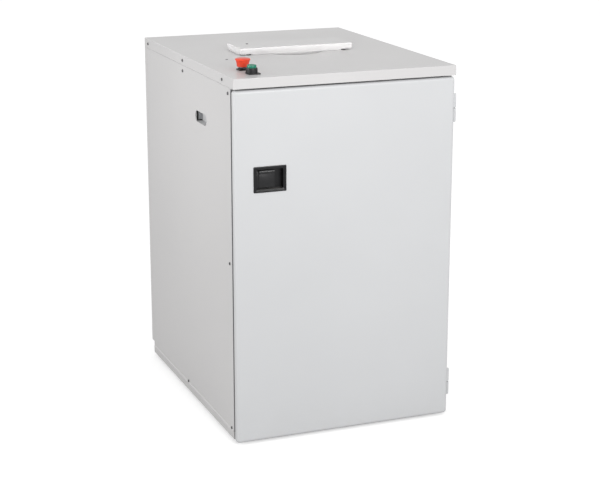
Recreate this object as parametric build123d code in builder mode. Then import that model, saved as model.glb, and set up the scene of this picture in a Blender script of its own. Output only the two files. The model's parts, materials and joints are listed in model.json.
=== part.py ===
from build123d import *

import os
from math import asin, cos, degrees, hypot, radians, sin, sqrt

# Free-standing media disintegrator. Millimetres, +Z up, door towards -Y.
# Origin: on the floor, under the middle of the cabinet.

# Cabinet envelope and sheet metal
body_width = 610
body_depth = 788
body_height = 965
sheet = 2
seam = 0.5
fold_radius = 1.8
corner_radius = 3
foot_height = 10
foot_radius = 22
foot_inset = 60
base_band = 20
base_upstand = 22
cover_flange = 26
rear_pan_depth = 24
rear_pan_lift = 45
rear_return = 20
panel_return = 25

# Frame tubes
tube = 30
tube_wall = 2.5
top_rail_height = 60
header_depth = 15

# Door
door_thickness = 15
door_gap = 10
door_edge_radius = 8
door_top_gap = 4
door_floor_gap = 6
door_side_inset = 2.5
door_return = 15
liner_thickness = 10
liner_margin = 6
seal_width = 8
seal_inset = 5

# Lift-off door hinges
hinge_radius = 5
hinge_offset = 0.5
hinge_length = 75
hinge_gap = 1
hinge_from_end = 85
hinge_pin_radius = 2.5
hinge_leaf = 2
hinge_leaf_reach = 35

# Flush paddle latch
latch_inset = 94.5
latch_drop = 228
bezel_width = 88
bezel_height = 67
bezel_proud = 2
bezel_radius = 4
bezel_slope = 3
cup_width = 74
cup_height = 54
cup_depth = 14
cup_wall = 2
paddle_width = 47
paddle_side_gap = 3
paddle_thickness = 4.5
paddle_edge_radius = 1.5
paddle_sunk = 0.5
pivot_radius = 3
peg_radius = 1.5
bolt_length = 70
bolt_height = 19
bolt_plate = 3
bolt_reach = 14
bolt_nose = 18
bolt_nose_bevel = 6
guide_rib = 4
guide_depth = 9
strike_height = 34
strike_overlap = 11
strike_reach = 16
strike_gap = 0.5

# Feed opening, lid and finger recess
feed_from_rear = 352
feed_margin = 5
feed_depth = 76
lid_overlap = 16
lid_lift = 2.5
lid_height = 16.5
lid_front_low = 56
lid_front_slope = 5
lid_rear_low = 47
lid_rear_slope = 11
lid_return = 13
lid_fold_radius = 1.6
lid_hinge_inset = 56
lid_hinge_length = 48
lid_hinge_radius = 4
lid_hinge_pin = 1.8
lid_hinge_behind = 2
lid_hinge_rise = 7
lid_leaf = 2
lid_leaf_depth = 24
bumper_radius = 6
bumper_inset = 23
recess_width = 156
recess_front = 100
recess_rear = 49
recess_depth = 8

# Controls on the cover
control_inset = 70
estop_from_front = 128
start_from_front = 61
legend_size = 34
legend_thickness = 3
barrel_radius = 11
barrel_length = 33
estop_head_radius = 20
estop_neck_radius = 15.5
estop_head_height = 22
estop_head_lift = 6
estop_crown = 4
estop_crown_radius = 10
estop_travel = 5
estop_stem_radius = 9
estop_stem_seat = 10
start_collar_radius = 15
start_collar_height = 13
start_cap_radius = 12
start_cap_proud = 7
start_cap_sunk = 8
start_travel = 4
block_width = 28
block_depth = 40
block_height = 34

# Side grips and hexagon-headed panel screws
grip_length = 95
grip_height = 30
grip_depth = 20
grip_from_front = 239
grip_drop = 117
grip_rim = 8
screw_across = 7
screw_head = 2.2
cover_screw_drop = 13
cover_screw_inset = 86
panel_screw_drop = 41
panel_screw_rise = 6

# Deck and knife mill
deck_drop = 425
deck_plate = 6
deck_lead = 168
deck_rear_gap = 10
mount_radius = 15
mount_height = 14
mount_edge = 20
mount_inset = 38
knife_circle = 75
knife_gap = 0.5
mill_side_room = 165
end_plate = 16
end_foot = 36
end_foot_plate = 12
screen_gap = 4
screen_plate = 4
ledge = 5.8
ledge_length = 10
ledge_clear = 1
bed_knife_plate = 12
bed_knife_width = 34.5
bed_knife_relief = 5
throat_step = 12.5
housing_web = 8
beam_drop = 52
mill_rise = 105
rotor_radius = 66
rotor_side_gap = 2
knife_count = 3
knife_plate = 10
knife_root = 38
knife_bevel = 6
pocket_root = 46
pocket_depth = 26
pocket_open = 44
shaft_radius = 20
shaft_hole_gap = 4
bearing_flange_size = 96
bearing_flange_corner = 16
bearing_bolt_pitch = 70
bearing_flange = 12
bearing_boss_radius = 32
bearing_boss = 30
bolt_across = 14
bolt_head = 6
knife_bolt_count = 4
knife_bolt_margin = 25.5
knife_bolt_radius = 52
housing_bolt_count = 4
housing_bolt_margin = 20
hole_across = 18
hole_rows = 5
hole_columns = 6
hole_margin = 30

# Feed chute and discharge funnel
chute_flange = 3
chute_lip = 5
chute_mill_gap = 4
funnel_flange = 3
funnel_lip = 15
funnel_taper = 20
funnel_mouth_depth = 130
funnel_shift = 58
funnel_height = 90

# Waste bin
bin_side_room = 110
bin_front_gap = 34
bin_motor_gap = 30
bin_mouth_gap = 23
bin_wall = 3
bin_corner = 25
bin_draft = 9
bin_rim = 8
bin_rim_height = 12

# Motor and belt drive
motor_from_rear = 145
motor_shaft_height = 100
motor_base_height = 48
motor_base_plate = 6
motor_pulley_gap = 95
motor_length = 240
motor_core_radius = 84
motor_fin_radius = 94
motor_fin_count = 18
motor_fin = 4
end_bell = 40
end_bell_radius = 88
motor_foot_width = 190
motor_foot_length = 140
motor_foot_height = 14
motor_web_width = 90
cowl_length = 62
cowl_radius = 92
cowl_slot_count = 8
cowl_slot = 6
terminal_length = 96
terminal_depth = 80
terminal_height = 44
motor_shaft_radius = 14
motor_shaft_depth = 50
pulley_gap = 15
pulley_width = 44
rotor_pulley_radius = 62.5
motor_pulley_radius = 45
belt_width = 34
belt_thickness = 6
belt_slot_clear = 8

# Electrics and ventilation
box_width = 280
box_depth = 130
box_height = 230
box_side_room = 53
box_rear_gap = 20
box_lid = 18
box_lid_step = 4
entry_inset = 105
entry_z = 130
entry_radius = 14
entry_length = 5
entry_dome = 3
louvre_count = 6
louvre_gap = 70
louvre_margin = 80
louvre_pitch = 22
louvre_slot = 7
louvre_hood = 6
louvre_low_rise = 195
louvre_high_drop = 178

# Fits
running_fit = 0.06
slip = 0.3
slide_gap = 1

# Worked out from the sizes above
half_width = body_width / 2
front_y = -body_depth / 2
rear_y = body_depth / 2
inner_x = half_width - sheet
frame_front = front_y + door_thickness + door_gap
frame_rear = rear_y - rear_pan_depth
frame_mid_y = (frame_front + frame_rear) / 2
base_rear = frame_rear + sheet
base_top = foot_height + sheet
band_top = foot_height + base_band
cover_low = body_height - cover_flange
cover_under = body_height - sheet
panel_low = band_top + seam
panel_high = cover_low - seam
post_x = inner_x - tube / 2
post_front_y = frame_front + sheet + tube / 2
post_rear_y = frame_rear - tube / 2
rail_front = post_front_y + tube / 2
rail_rear = post_rear_y - tube / 2
rail_x = post_x - tube / 2
rail_z = cover_under - top_rail_height / 2
deck_low = body_height - deck_drop
feed_y = frame_rear - feed_from_rear
chamber_width = body_width - 2 * mill_side_room
feed_width = chamber_width + 2 * feed_margin
lid_width = feed_width + 2 * lid_overlap
control_x = -half_width + control_inset
estop_y = front_y + estop_from_front
start_y = front_y + start_from_front
grip_y = frame_front + grip_from_front
grip_z = panel_high - grip_drop

door_left = -half_width
door_right = half_width - door_side_inset
door_low = door_floor_gap
door_high = cover_low - door_top_gap
door_mid = (door_left + door_right) / 2, (door_low + door_high) / 2
door_width = door_right - door_left
door_height = door_high - door_low
door_back = front_y + door_thickness
latch_x = door_left + latch_inset
latch_z = door_high - latch_drop

hinge_x = half_width + hinge_offset + hinge_radius
hinge_y = (door_back + frame_front) / 2
hinge_heights = (door_low + hinge_from_end, door_high - hinge_from_end)
knuckle = (hinge_length - hinge_gap) / 2

deck_top = deck_low + deck_plate
deck_front = feed_y - deck_lead
deck_rear = rail_rear - deck_rear_gap
mill_low = deck_top + mount_height
knife_edge = knife_circle + knife_gap
screen_inner = knife_circle + screen_gap
screen_outer = screen_inner + screen_plate
ledge_inner = screen_outer + slip
ledge_outer = ledge_inner + ledge
rotor_z = mill_low + ledge_outer + ledge_clear
mill_top = rotor_z + mill_rise
mill_half = chamber_width / 2
knife_back = knife_edge + bed_knife_width
throat_wall = knife_edge + throat_step
housing_outer = knife_back + housing_web
drum_length = chamber_width - 2 * rotor_side_gap
pulley_left = mill_half + end_plate + bearing_boss + pulley_gap
pulley_right = pulley_left + pulley_width
belt_left = pulley_left + (pulley_width - belt_width) / 2

motor_y = frame_rear - motor_from_rear
motor_z = base_top + motor_base_height + motor_shaft_height
motor_right = pulley_left - motor_pulley_gap
motor_left = motor_right - motor_length

STAND = (Align.CENTER, Align.CENTER, Align.MIN)
HANG = (Align.CENTER, Align.CENTER, Align.MAX)
mill_plane = Plane(origin=(0, feed_y, rotor_z), x_dir=(0, 1, 0), z_dir=(1, 0, 0))
motor_plane = Plane(origin=(0, motor_y, motor_z), x_dir=(0, 1, 0), z_dir=(1, 0, 0))
sides = ((-1, "left"), (1, "right"))

os.makedirs("parts", exist_ok=True)


def plane_at_y(y):
    """Upright plane facing the door side: local x is X, local y is Z, and it faces -Y."""
    return Plane.XZ.offset(-y)


def frustum(low, high, foot, mouth, corner=0):
    """Four flat walls between heights low and high; foot and mouth are (mid y, half width, half depth)."""
    with BuildPart() as block:
        with BuildSketch(Plane.XZ):
            Polygon((-foot[1], low), (foot[1], low), (mouth[1], high), (-mouth[1], high), align=None)
        extrude(amount=body_depth, both=True)
        with BuildSketch(Plane.YZ):
            Polygon(
                (foot[0] - foot[2], low),
                (foot[0] + foot[2], low),
                (mouth[0] + mouth[2], high),
                (mouth[0] - mouth[2], high),
                align=None,
            )
        extrude(amount=body_depth, both=True, mode=Mode.INTERSECT)
        if corner:
            fillet(block.edges().group_by(Axis.Z)[1], corner)
    return block.part


def screw_places():
    """Screws on one side, as (y, z): along the cover's flange, the front post, the top rail and the base."""
    cover_z = body_height - cover_screw_drop
    cover_front = front_y + cover_screw_inset
    mid_y = (cover_front + post_rear_y) / 2
    top_z = body_height - panel_screw_drop
    low_z = band_top + panel_screw_rise
    cover_row = [(y, cover_z) for y in (cover_front, mid_y, post_rear_y)]
    post_row = [(post_front_y, z) for z in (low_z, (panel_low + panel_high) / 2, top_z)]
    return cover_row + post_row + [(mid_y, top_z), (mid_y, low_z)]


# Base tray with a wall all round, and an upstand between the posts behind each side panel
with BuildPart() as base_pan:
    with BuildSketch(Plane.XY.offset(foot_height)):
        with Locations((0, frame_front)):
            Rectangle(body_width, base_rear - frame_front, align=(Align.CENTER, Align.MIN))
    extrude(amount=base_band)
    with BuildSketch(Plane.XY.offset(base_top)):
        with Locations((0, frame_front + sheet)):
            Rectangle(2 * inner_x, frame_rear - frame_front - sheet, align=(Align.CENTER, Align.MIN))
    extrude(amount=base_band, mode=Mode.SUBTRACT)
    with BuildSketch(plane_at_y(rail_rear)):
        for side, _ in sides:
            with Locations((side * (inner_x - sheet / 2), band_top - sheet)):
                Rectangle(sheet, sheet + base_upstand, align=(Align.CENTER, Align.MIN))
            with Locations((side * inner_x, band_top - sheet / 2)):
                Rectangle(2 * sheet, sheet)
    extrude(amount=rail_rear - rail_front)
base_pan.part.label = "base_pan"
export_step(base_pan.part, "parts/base_pan.step")

with BuildPart() as rubber_feet:
    with BuildSketch(Plane.XY):
        with Locations((0, frame_mid_y)):
            with GridLocations(
                body_width - 2 * foot_inset,
                frame_rear - frame_front - 2 * foot_inset,
                2,
                2,
            ):
                Circle(foot_radius)
    extrude(amount=foot_height)
rubber_feet.part.label = "rubber_feet"
export_step(rubber_feet.part, "parts/rubber_feet.step")

# Square tube frame: posts, a ring of rails under the cover, and rails under the deck
with BuildPart() as corner_posts:
    with BuildSketch(Plane.XY.offset(base_top)):
        with Locations((0, (post_front_y + post_rear_y) / 2)):
            with GridLocations(2 * post_x, post_rear_y - post_front_y, 2, 2):
                Rectangle(tube, tube)
                Rectangle(tube - 2 * tube_wall, tube - 2 * tube_wall, mode=Mode.SUBTRACT)
    extrude(amount=cover_under - base_top)
corner_posts.part.label = "corner_posts"
export_step(corner_posts.part, "parts/corner_posts.step")

with BuildPart() as top_rails:
    with BuildSketch(plane_at_y(rail_rear)):
        with Locations((-post_x, rail_z), (post_x, rail_z)):
            Rectangle(tube, top_rail_height)
            Rectangle(tube - 2 * tube_wall, top_rail_height - 2 * tube_wall, mode=Mode.SUBTRACT)
    extrude(amount=rail_rear - rail_front)
    with BuildSketch(Plane.YZ.offset(-rail_x)):
        for depth, y in ((header_depth, frame_front + sheet + header_depth / 2), (tube, post_rear_y)):
            with Locations((y, rail_z)):
                Rectangle(depth, top_rail_height)
                Rectangle(depth - 2 * tube_wall, top_rail_height - 2 * tube_wall, mode=Mode.SUBTRACT)
    extrude(amount=2 * rail_x)
top_rails.part.label = "top_rails"
export_step(top_rails.part, "parts/top_rails.step")

with BuildPart() as deck_rails:
    with BuildSketch(plane_at_y(rail_rear)):
        with Locations((-post_x, deck_low - tube / 2), (post_x, deck_low - tube / 2)):
            Rectangle(tube, tube)
            Rectangle(tube - 2 * tube_wall, tube - 2 * tube_wall, mode=Mode.SUBTRACT)
    extrude(amount=rail_rear - rail_front)
deck_rails.part.label = "deck_rails"
export_step(deck_rails.part, "parts/deck_rails.step")

# Side panels, folded round the front posts, each with a grip pocket
for side, name in sides:
    with BuildPart() as side_panel:
        with BuildSketch(Plane.XY.offset(panel_low)):
            with Locations((side * (half_width - sheet / 2), frame_front)):
                Rectangle(sheet, frame_rear - seam - frame_front, align=(Align.CENTER, Align.MIN))
            with Locations((side * (half_width - panel_return / 2), frame_front)):
                Rectangle(panel_return, sheet, align=(Align.CENTER, Align.MIN))
        extrude(amount=panel_high - panel_low)
        fold = side_panel.edges().filter_by(Axis.Z).group_by(Axis.Y)[0].sort_by(Axis.X)
        fillet(fold[0] if side < 0 else fold[-1], fold_radius)
        with BuildSketch(Plane.YZ.offset(side * half_width)):
            with Locations((grip_y, grip_z)):
                SlotOverall(grip_length, grip_height)
        extrude(amount=-side * sheet, mode=Mode.SUBTRACT)
    side_panel.part.label = f"{name}_side_panel"
    export_step(side_panel.part, f"parts/{name}_side_panel.step")

    with BuildPart() as grip_cup:
        with BuildSketch(Plane.YZ.offset(side * inner_x)):
            with Locations((grip_y, grip_z)):
                Rectangle(grip_length + 2 * grip_rim, grip_height + 2 * grip_rim)
        extrude(amount=-side * sheet)
        with BuildSketch(Plane.YZ.offset(side * inner_x)):
            with Locations((grip_y, grip_z)):
                Rectangle(grip_length + 2 * sheet, grip_height + 2 * sheet)
        extrude(amount=-side * grip_depth)
        with BuildSketch(Plane.YZ.offset(side * inner_x)):
            with Locations((grip_y, grip_z)):
                Rectangle(grip_length, grip_height)
        extrude(amount=-side * (grip_depth - sheet), mode=Mode.SUBTRACT)
    grip_cup.part.label = f"{name}_grip_cup"
    export_step(grip_cup.part, f"parts/{name}_grip_cup.step")

with BuildPart() as panel_screws:
    for side, _ in sides:
        with BuildSketch(Plane.YZ.offset(side * half_width)):
            with Locations(*screw_places()):
                RegularPolygon(screw_across / 2, 6, major_radius=False)
        extrude(amount=side * screw_head)
panel_screws.part.label = "panel_screws"
export_step(panel_screws.part, "parts/panel_screws.step")

# Rear pan: returns lie on the rear posts, with louvres blown outwards and a cable entry hole
louvre_width = half_width - louvre_margin - louvre_gap / 2
louvre_x = (half_width - louvre_margin + louvre_gap / 2) / 2
entry_x = half_width - entry_inset
with BuildPart() as rear_panel:
    with Locations((0, frame_rear, rear_pan_lift)):
        Box(body_width, rear_pan_depth, panel_high - rear_pan_lift, align=(Align.CENTER, Align.MIN, Align.MIN))
    fillet(rear_panel.edges().filter_by(Axis.Z).group_by(Axis.Y)[-1], corner_radius)
    with Locations((0, frame_rear + sheet, rear_pan_lift + sheet)):
        Box(
            2 * inner_x,
            rear_pan_depth - 2 * sheet,
            panel_high - rear_pan_lift - 2 * sheet,
            align=(Align.CENTER, Align.MIN, Align.MIN),
            mode=Mode.SUBTRACT,
        )
    with Locations((0, frame_rear, rear_pan_lift + sheet)):
        Box(
            2 * (inner_x - rear_return),
            sheet,
            panel_high - rear_pan_lift - 2 * sheet,
            align=(Align.CENTER, Align.MIN, Align.MIN),
            mode=Mode.SUBTRACT,
        )
    for bank_x in (-louvre_x, louvre_x):
        for bank_z in (rear_pan_lift + louvre_low_rise, panel_high - louvre_high_drop):
            with BuildSketch(Plane.YZ.offset(bank_x - louvre_width / 2)):
                with Locations((rear_y, bank_z)):
                    with GridLocations(0, louvre_pitch, 1, louvre_count):
                        Polygon(
                            (-sheet, 0),
                            (louvre_hood, 0),
                            (0, louvre_slot + louvre_hood),
                            (-sheet, louvre_slot + louvre_hood),
                            align=None,
                        )
            extrude(amount=louvre_width)
            with BuildSketch(Plane.YZ.offset(bank_x - louvre_width / 2 + sheet)):
                with Locations((rear_y, bank_z)):
                    with GridLocations(0, louvre_pitch, 1, louvre_count):
                        Polygon(
                            (-sheet, 0),
                            (louvre_hood - sheet, 0),
                            (-sheet, louvre_slot + sheet),
                            align=None,
                        )
            extrude(amount=louvre_width - 2 * sheet, mode=Mode.SUBTRACT)
    with BuildSketch(plane_at_y(rear_y)):
        with Locations((entry_x, entry_z)):
            Circle(entry_radius - sheet)
    extrude(amount=sheet, mode=Mode.SUBTRACT)
rear_panel.part.label = "rear_panel"
export_step(rear_panel.part, "parts/rear_panel.step")

# Closed membrane cable entry in the rear panel
with BuildPart() as cable_entry:
    with BuildSketch(plane_at_y(rear_y)):
        with Locations((entry_x, entry_z)):
            RegularPolygon(entry_radius, 6, major_radius=False)
    extrude(amount=-entry_length)
    with BuildSketch(plane_at_y(rear_y + entry_length)):
        with Locations((entry_x, entry_z)):
            Circle(entry_radius - sheet)
    extrude(amount=-entry_dome)
cable_entry.part.label = "cable_entry"
export_step(cable_entry.part, "parts/cable_entry.step")

# Top cover: pan with the feed opening, a finger recess that slopes down under the lid, and two button holes
recess_tip = feed_y - recess_front
recess_back = feed_y - recess_rear
recess_reach = recess_back - recess_tip
recess_radius = ((recess_width / 2) ** 2 + recess_reach**2) / (2 * recess_reach)


def scoop(radius, outline):
    """Block with this outline across the cover, as (y, z), cut to the recess's round front edge."""
    with BuildPart() as block:
        with BuildSketch(Plane.YZ.offset(-radius)):
            Polygon(*outline, align=None)
        extrude(amount=2 * radius)
        with BuildSketch(Plane.XY.offset(body_height)):
            with Locations((0, recess_tip + recess_radius)):
                Circle(radius)
        extrude(amount=-cover_flange, mode=Mode.INTERSECT)
    return block.part


with BuildPart() as top_cover:
    with Locations((0, 0, cover_low)):
        Box(body_width, body_depth, cover_flange, align=STAND)
    fillet(top_cover.edges().filter_by(Axis.Z), corner_radius)
    fillet(top_cover.faces().sort_by(Axis.Z)[-1].edges(), fold_radius)
    with Locations((0, 0, cover_low)):
        Box(2 * inner_x, body_depth - 2 * sheet, cover_flange - sheet, align=STAND, mode=Mode.SUBTRACT)
    add(
        scoop(
            recess_radius + sheet,
            (
                (recess_tip - sheet, body_height - sheet),
                (recess_back + sheet, body_height - sheet - recess_depth),
                (recess_back + sheet, body_height - sheet / 2),
                (recess_tip - sheet, body_height - sheet / 2),
            ),
        )
    )
    add(
        scoop(
            recess_radius,
            (
                (recess_tip, body_height),
                (recess_back, body_height - recess_depth),
                (recess_back, body_height),
            ),
        ),
        mode=Mode.SUBTRACT,
    )
    with BuildSketch(Plane.XY.offset(cover_under)):
        with Locations((0, feed_y)):
            Rectangle(feed_width, feed_depth)
        with Locations((control_x, estop_y), (control_x, start_y)):
            Circle(barrel_radius + slip)
    extrude(amount=sheet, mode=Mode.SUBTRACT)
top_cover.part.label = "top_cover"
export_step(top_cover.part, "parts/top_cover.step")

# Feed lid: a pan whose front and rear flanges lean in towards the cover, hinged behind
lid_low = body_height + lid_lift
lid_front = -lid_front_low - lid_front_slope
lid_rear = lid_rear_low + lid_rear_slope
lid_hinge_y = feed_y + lid_rear + lid_hinge_behind
lid_hinge_z = body_height + lid_hinge_rise
lid_plane = Plane(origin=(0, feed_y, lid_low), x_dir=(0, 1, 0), z_dir=(1, 0, 0))
with BuildPart() as feed_lid:
    with BuildSketch(lid_plane.offset(-lid_width / 2)):
        Polygon(
            (-lid_front_low, 0),
            (lid_rear_low, 0),
            (lid_rear, lid_height),
            (lid_front, lid_height),
            align=None,
        )
    extrude(amount=lid_width)
    fillet(feed_lid.faces().sort_by(Axis.Z)[-1].edges(), lid_fold_radius)
    with BuildSketch(lid_plane.offset(-lid_width / 2 + sheet)):
        Polygon(
            (-lid_front_low + sheet, 0),
            (lid_rear_low - lid_return, 0),
            (lid_rear_low - lid_return, sheet),
            (lid_rear_low - sheet, sheet),
            (lid_rear - 2 * sheet, lid_height - sheet),
            (lid_front + 2 * sheet, lid_height - sheet),
            align=None,
        )
    extrude(amount=lid_width - 2 * sheet, mode=Mode.SUBTRACT)
feed_lid.part.label = "feed_lid"
export_step(feed_lid.part, "parts/feed_lid.step")

lid_hinge_plane = Plane(origin=(0, lid_hinge_y, lid_hinge_z), x_dir=(0, 1, 0), z_dir=(1, 0, 0))
lid_knuckle = lid_hinge_length / 3
lid_hinge_x = lid_width / 2 - lid_hinge_inset
with BuildPart() as lid_hinge_leaves:
    for x in (-lid_hinge_x, lid_hinge_x):
        for start in (-lid_hinge_length / 2, lid_knuckle / 2):
            with BuildSketch(lid_hinge_plane.offset(x + start)):
                Circle(lid_hinge_radius)
                with Locations((0, -lid_hinge_rise)):
                    Rectangle(lid_hinge_radius, lid_hinge_rise, align=(Align.MIN, Align.MIN))
            extrude(amount=lid_knuckle)
        with BuildSketch(lid_hinge_plane.offset(x - lid_hinge_length / 2)):
            Circle(lid_hinge_pin)
            with Locations((lid_hinge_radius / 2, -lid_hinge_rise)):
                Rectangle(lid_leaf_depth, lid_leaf, align=(Align.MIN, Align.MIN))
        extrude(amount=lid_hinge_length)
lid_hinge_leaves.part.label = "lid_hinge_leaves"
export_step(lid_hinge_leaves.part, "parts/lid_hinge_leaves.step")

flap_low = lid_lift - lid_hinge_rise - lid_leaf
with BuildPart() as lid_hinge_flaps:
    for x in (-lid_hinge_x, lid_hinge_x):
        with BuildSketch(lid_hinge_plane.offset(x - lid_knuckle / 2 + slip)):
            Circle(lid_hinge_radius)
            with Locations((0, flap_low)):
                Rectangle(
                    lid_hinge_behind + lid_rear_slope + lid_return,
                    lid_leaf,
                    align=(Align.MAX, Align.MIN),
                )
                Rectangle(lid_hinge_radius, -flap_low, align=(Align.MAX, Align.MIN))
            Circle(lid_hinge_pin + running_fit, mode=Mode.SUBTRACT)
        extrude(amount=lid_knuckle - 2 * slip)
lid_hinge_flaps.part.label = "lid_hinge_flaps"
export_step(lid_hinge_flaps.part, "parts/lid_hinge_flaps.step")

with BuildPart() as lid_bumpers:
    with BuildSketch(Plane.XY.offset(body_height)):
        with Locations((0, feed_y - lid_front_low + sheet / 2)):
            with GridLocations(lid_width - 2 * bumper_inset, 0, 2, 1):
                Circle(bumper_radius)
    extrude(amount=lid_lift - slip)
lid_bumpers.part.label = "lid_bumpers"
export_step(lid_bumpers.part, "parts/lid_bumpers.step")

# Stop button: legend plate and barrel, with a stem that slides and a mushroom head that twists on it
barrel_low = cover_under - barrel_length
legend_top = body_height + legend_thickness
estop_head_low = legend_top + estop_head_lift
with BuildPart() as estop_base:
    with BuildSketch(Plane.XY.offset(body_height)):
        with Locations((control_x, estop_y)):
            Rectangle(legend_size, legend_size)
    extrude(amount=legend_thickness)
    with BuildSketch(Plane.XY.offset(body_height)):
        with Locations((control_x, estop_y)):
            Circle(barrel_radius)
    extrude(amount=barrel_low - body_height)
    with BuildSketch(Plane.XY.offset(barrel_low)):
        with Locations((control_x, estop_y)):
            Circle(estop_stem_radius + running_fit)
    extrude(amount=legend_top - barrel_low, mode=Mode.SUBTRACT)
estop_base.part.label = "estop_base"
export_step(estop_base.part, "parts/estop_base.step")

estop_stem_low = barrel_low + estop_travel + slide_gap
estop_stem_high = estop_head_low + estop_head_height - estop_stem_seat
with BuildPart() as estop_stem:
    with BuildSketch(Plane.XY.offset(estop_stem_low)):
        with Locations((control_x, estop_y)):
            Circle(estop_stem_radius)
    extrude(amount=estop_stem_high - estop_stem_low)
estop_stem.part.label = "estop_stem"
export_step(estop_stem.part, "parts/estop_stem.step")

estop_plane = Plane(origin=(control_x, estop_y, estop_head_low), x_dir=(1, 0, 0), z_dir=(0, -1, 0))
with BuildPart() as estop_head:
    with BuildSketch(estop_plane):
        Polygon(
            (0, 0),
            (estop_neck_radius, 0),
            (estop_head_radius, estop_head_height - estop_crown),
            (estop_crown_radius, estop_head_height),
            (0, estop_head_height),
            align=None,
        )
    revolve(axis=Axis((control_x, estop_y, 0), (0, 0, 1)))
    with BuildSketch(Plane.XY.offset(estop_head_low)):
        with Locations((control_x, estop_y)):
            Circle(estop_stem_radius + running_fit)
    extrude(amount=estop_stem_high + running_fit - estop_head_low, mode=Mode.SUBTRACT)
estop_head.part.label = "estop_head"
export_step(estop_head.part, "parts/estop_head.step")

# Start button: collar and barrel in one piece, with a cap that slides in the collar
start_collar_top = legend_top + start_collar_height
start_cap_top = start_collar_top + start_cap_proud
start_cap_low = start_collar_top - start_cap_sunk
start_pocket = start_cap_low - start_travel - slide_gap
with BuildPart() as start_bezel:
    with BuildSketch(Plane.XY.offset(body_height)):
        with Locations((control_x, start_y)):
            Rectangle(legend_size, legend_size)
    extrude(amount=legend_thickness)
    with BuildSketch(Plane.XY.offset(legend_top)):
        with Locations((control_x, start_y)):
            Circle(start_collar_radius)
    extrude(amount=start_collar_height)
    with BuildSketch(Plane.XY.offset(body_height)):
        with Locations((control_x, start_y)):
            Circle(barrel_radius)
    extrude(amount=barrel_low - body_height)
    with BuildSketch(Plane.XY.offset(start_pocket)):
        with Locations((control_x, start_y)):
            Circle(start_cap_radius + slip)
    extrude(amount=start_collar_top - start_pocket, mode=Mode.SUBTRACT)
start_bezel.part.label = "start_bezel"
export_step(start_bezel.part, "parts/start_bezel.step")

with BuildPart() as start_cap:
    with BuildSketch(Plane.XY.offset(start_cap_low)):
        with Locations((control_x, start_y)):
            Circle(start_cap_radius)
    extrude(amount=start_cap_top - start_cap_low)
    chamfer(start_cap.edges().sort_by(Axis.Z)[-1], slide_gap)
start_cap.part.label = "start_cap"
export_step(start_cap.part, "parts/start_cap.step")

with BuildPart() as contact_blocks:
    with Locations((control_x, estop_y, barrel_low), (control_x, start_y, barrel_low)):
        Box(block_depth, block_width, block_height, align=HANG)
    chamfer(contact_blocks.edges().group_by(Axis.Z)[0], sheet)
contact_blocks.part.label = "contact_blocks"
export_step(contact_blocks.part, "parts/contact_blocks.step")

# Deck on vibration mounts, with a discharge hole and a slot for the belt
belt_run = hypot(motor_y - feed_y, rotor_z - motor_z)
belt_lean = (rotor_z - motor_z) / belt_run
belt_share = (rotor_z - deck_low) / (rotor_z - motor_z)
belt_mid_y = feed_y + belt_share * (motor_y - feed_y)
belt_half = (rotor_pulley_radius + belt_thickness + slip) / belt_lean + belt_slot_clear
with BuildPart() as mill_deck:
    with BuildSketch(Plane.XY.offset(deck_low)):
        with Locations((0, (deck_front + deck_rear) / 2)):
            Rectangle(2 * (inner_x - slip), deck_rear - deck_front)
        with Locations((0, feed_y)):
            Rectangle(chamber_width, 2 * ledge_outer, mode=Mode.SUBTRACT)
        with Locations(((pulley_left + pulley_right) / 2, belt_mid_y)):
            Rectangle(pulley_width + belt_slot_clear, 2 * belt_half, mode=Mode.SUBTRACT)
    extrude(amount=deck_plate)
mill_deck.part.label = "mill_deck"
export_step(mill_deck.part, "parts/mill_deck.step")

mount_x = mill_half + end_plate + end_foot - mount_edge
with BuildPart() as vibration_mounts:
    with BuildSketch(Plane.XY.offset(deck_top)):
        with Locations((0, feed_y)):
            with GridLocations(2 * mount_x, 2 * (housing_outer - mount_inset), 2, 2):
                Circle(mount_radius)
    extrude(amount=mount_height)
vibration_mounts.part.label = "vibration_mounts"
export_step(vibration_mounts.part, "parts/vibration_mounts.step")

# Mill end plates: foot, shaft hole, and an arched ledge that carries the screen
for side, name in sides:
    with BuildPart() as mill_end:
        with BuildSketch(mill_plane.offset(side * mill_half)):
            with Locations((0, mill_low - rotor_z)):
                Rectangle(2 * housing_outer, mill_top - mill_low, align=(Align.CENTER, Align.MIN))
            Circle(shaft_radius + shaft_hole_gap, mode=Mode.SUBTRACT)
        extrude(amount=side * end_plate)
        with BuildSketch(mill_plane.offset(side * mill_half)):
            with Locations((0, mill_low - rotor_z)):
                Rectangle(2 * housing_outer, end_foot_plate, align=(Align.CENTER, Align.MIN))
        extrude(amount=side * (end_plate + end_foot))
        with BuildSketch(mill_plane.offset(side * mill_half)):
            Circle(ledge_outer)
            Circle(ledge_inner, mode=Mode.SUBTRACT)
            with Locations((0, -beam_drop - ledge_clear)):
                Rectangle(2 * ledge_outer, ledge_outer, align=(Align.CENTER, Align.MAX), mode=Mode.INTERSECT)
        extrude(amount=-side * ledge_length)
    mill_end.part.label = f"{name}_end_plate"
    export_step(mill_end.part, f"parts/{name}_end_plate.step")

# Front and rear housings: a beam that seats the bed knife, and the throat wall above it
for side, name in ((-1, "front"), (1, "rear")):
    with BuildPart() as housing:
        with BuildSketch(mill_plane.offset(-mill_half)):
            Polygon(
                (side * housing_outer, -beam_drop),
                (side * (screen_inner + slide_gap), -beam_drop),
                (side * (screen_inner + slide_gap), -bed_knife_plate),
                (side * knife_back, -bed_knife_plate),
                (side * knife_back, 0),
                (side * throat_wall, 0),
                (side * throat_wall, mill_rise),
                (side * housing_outer, mill_rise),
                align=None,
            )
            Circle(ledge_inner, mode=Mode.SUBTRACT)
        extrude(amount=chamber_width)
    housing.part.label = f"{name}_housing"
    export_step(housing.part, f"parts/{name}_housing.step")

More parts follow.
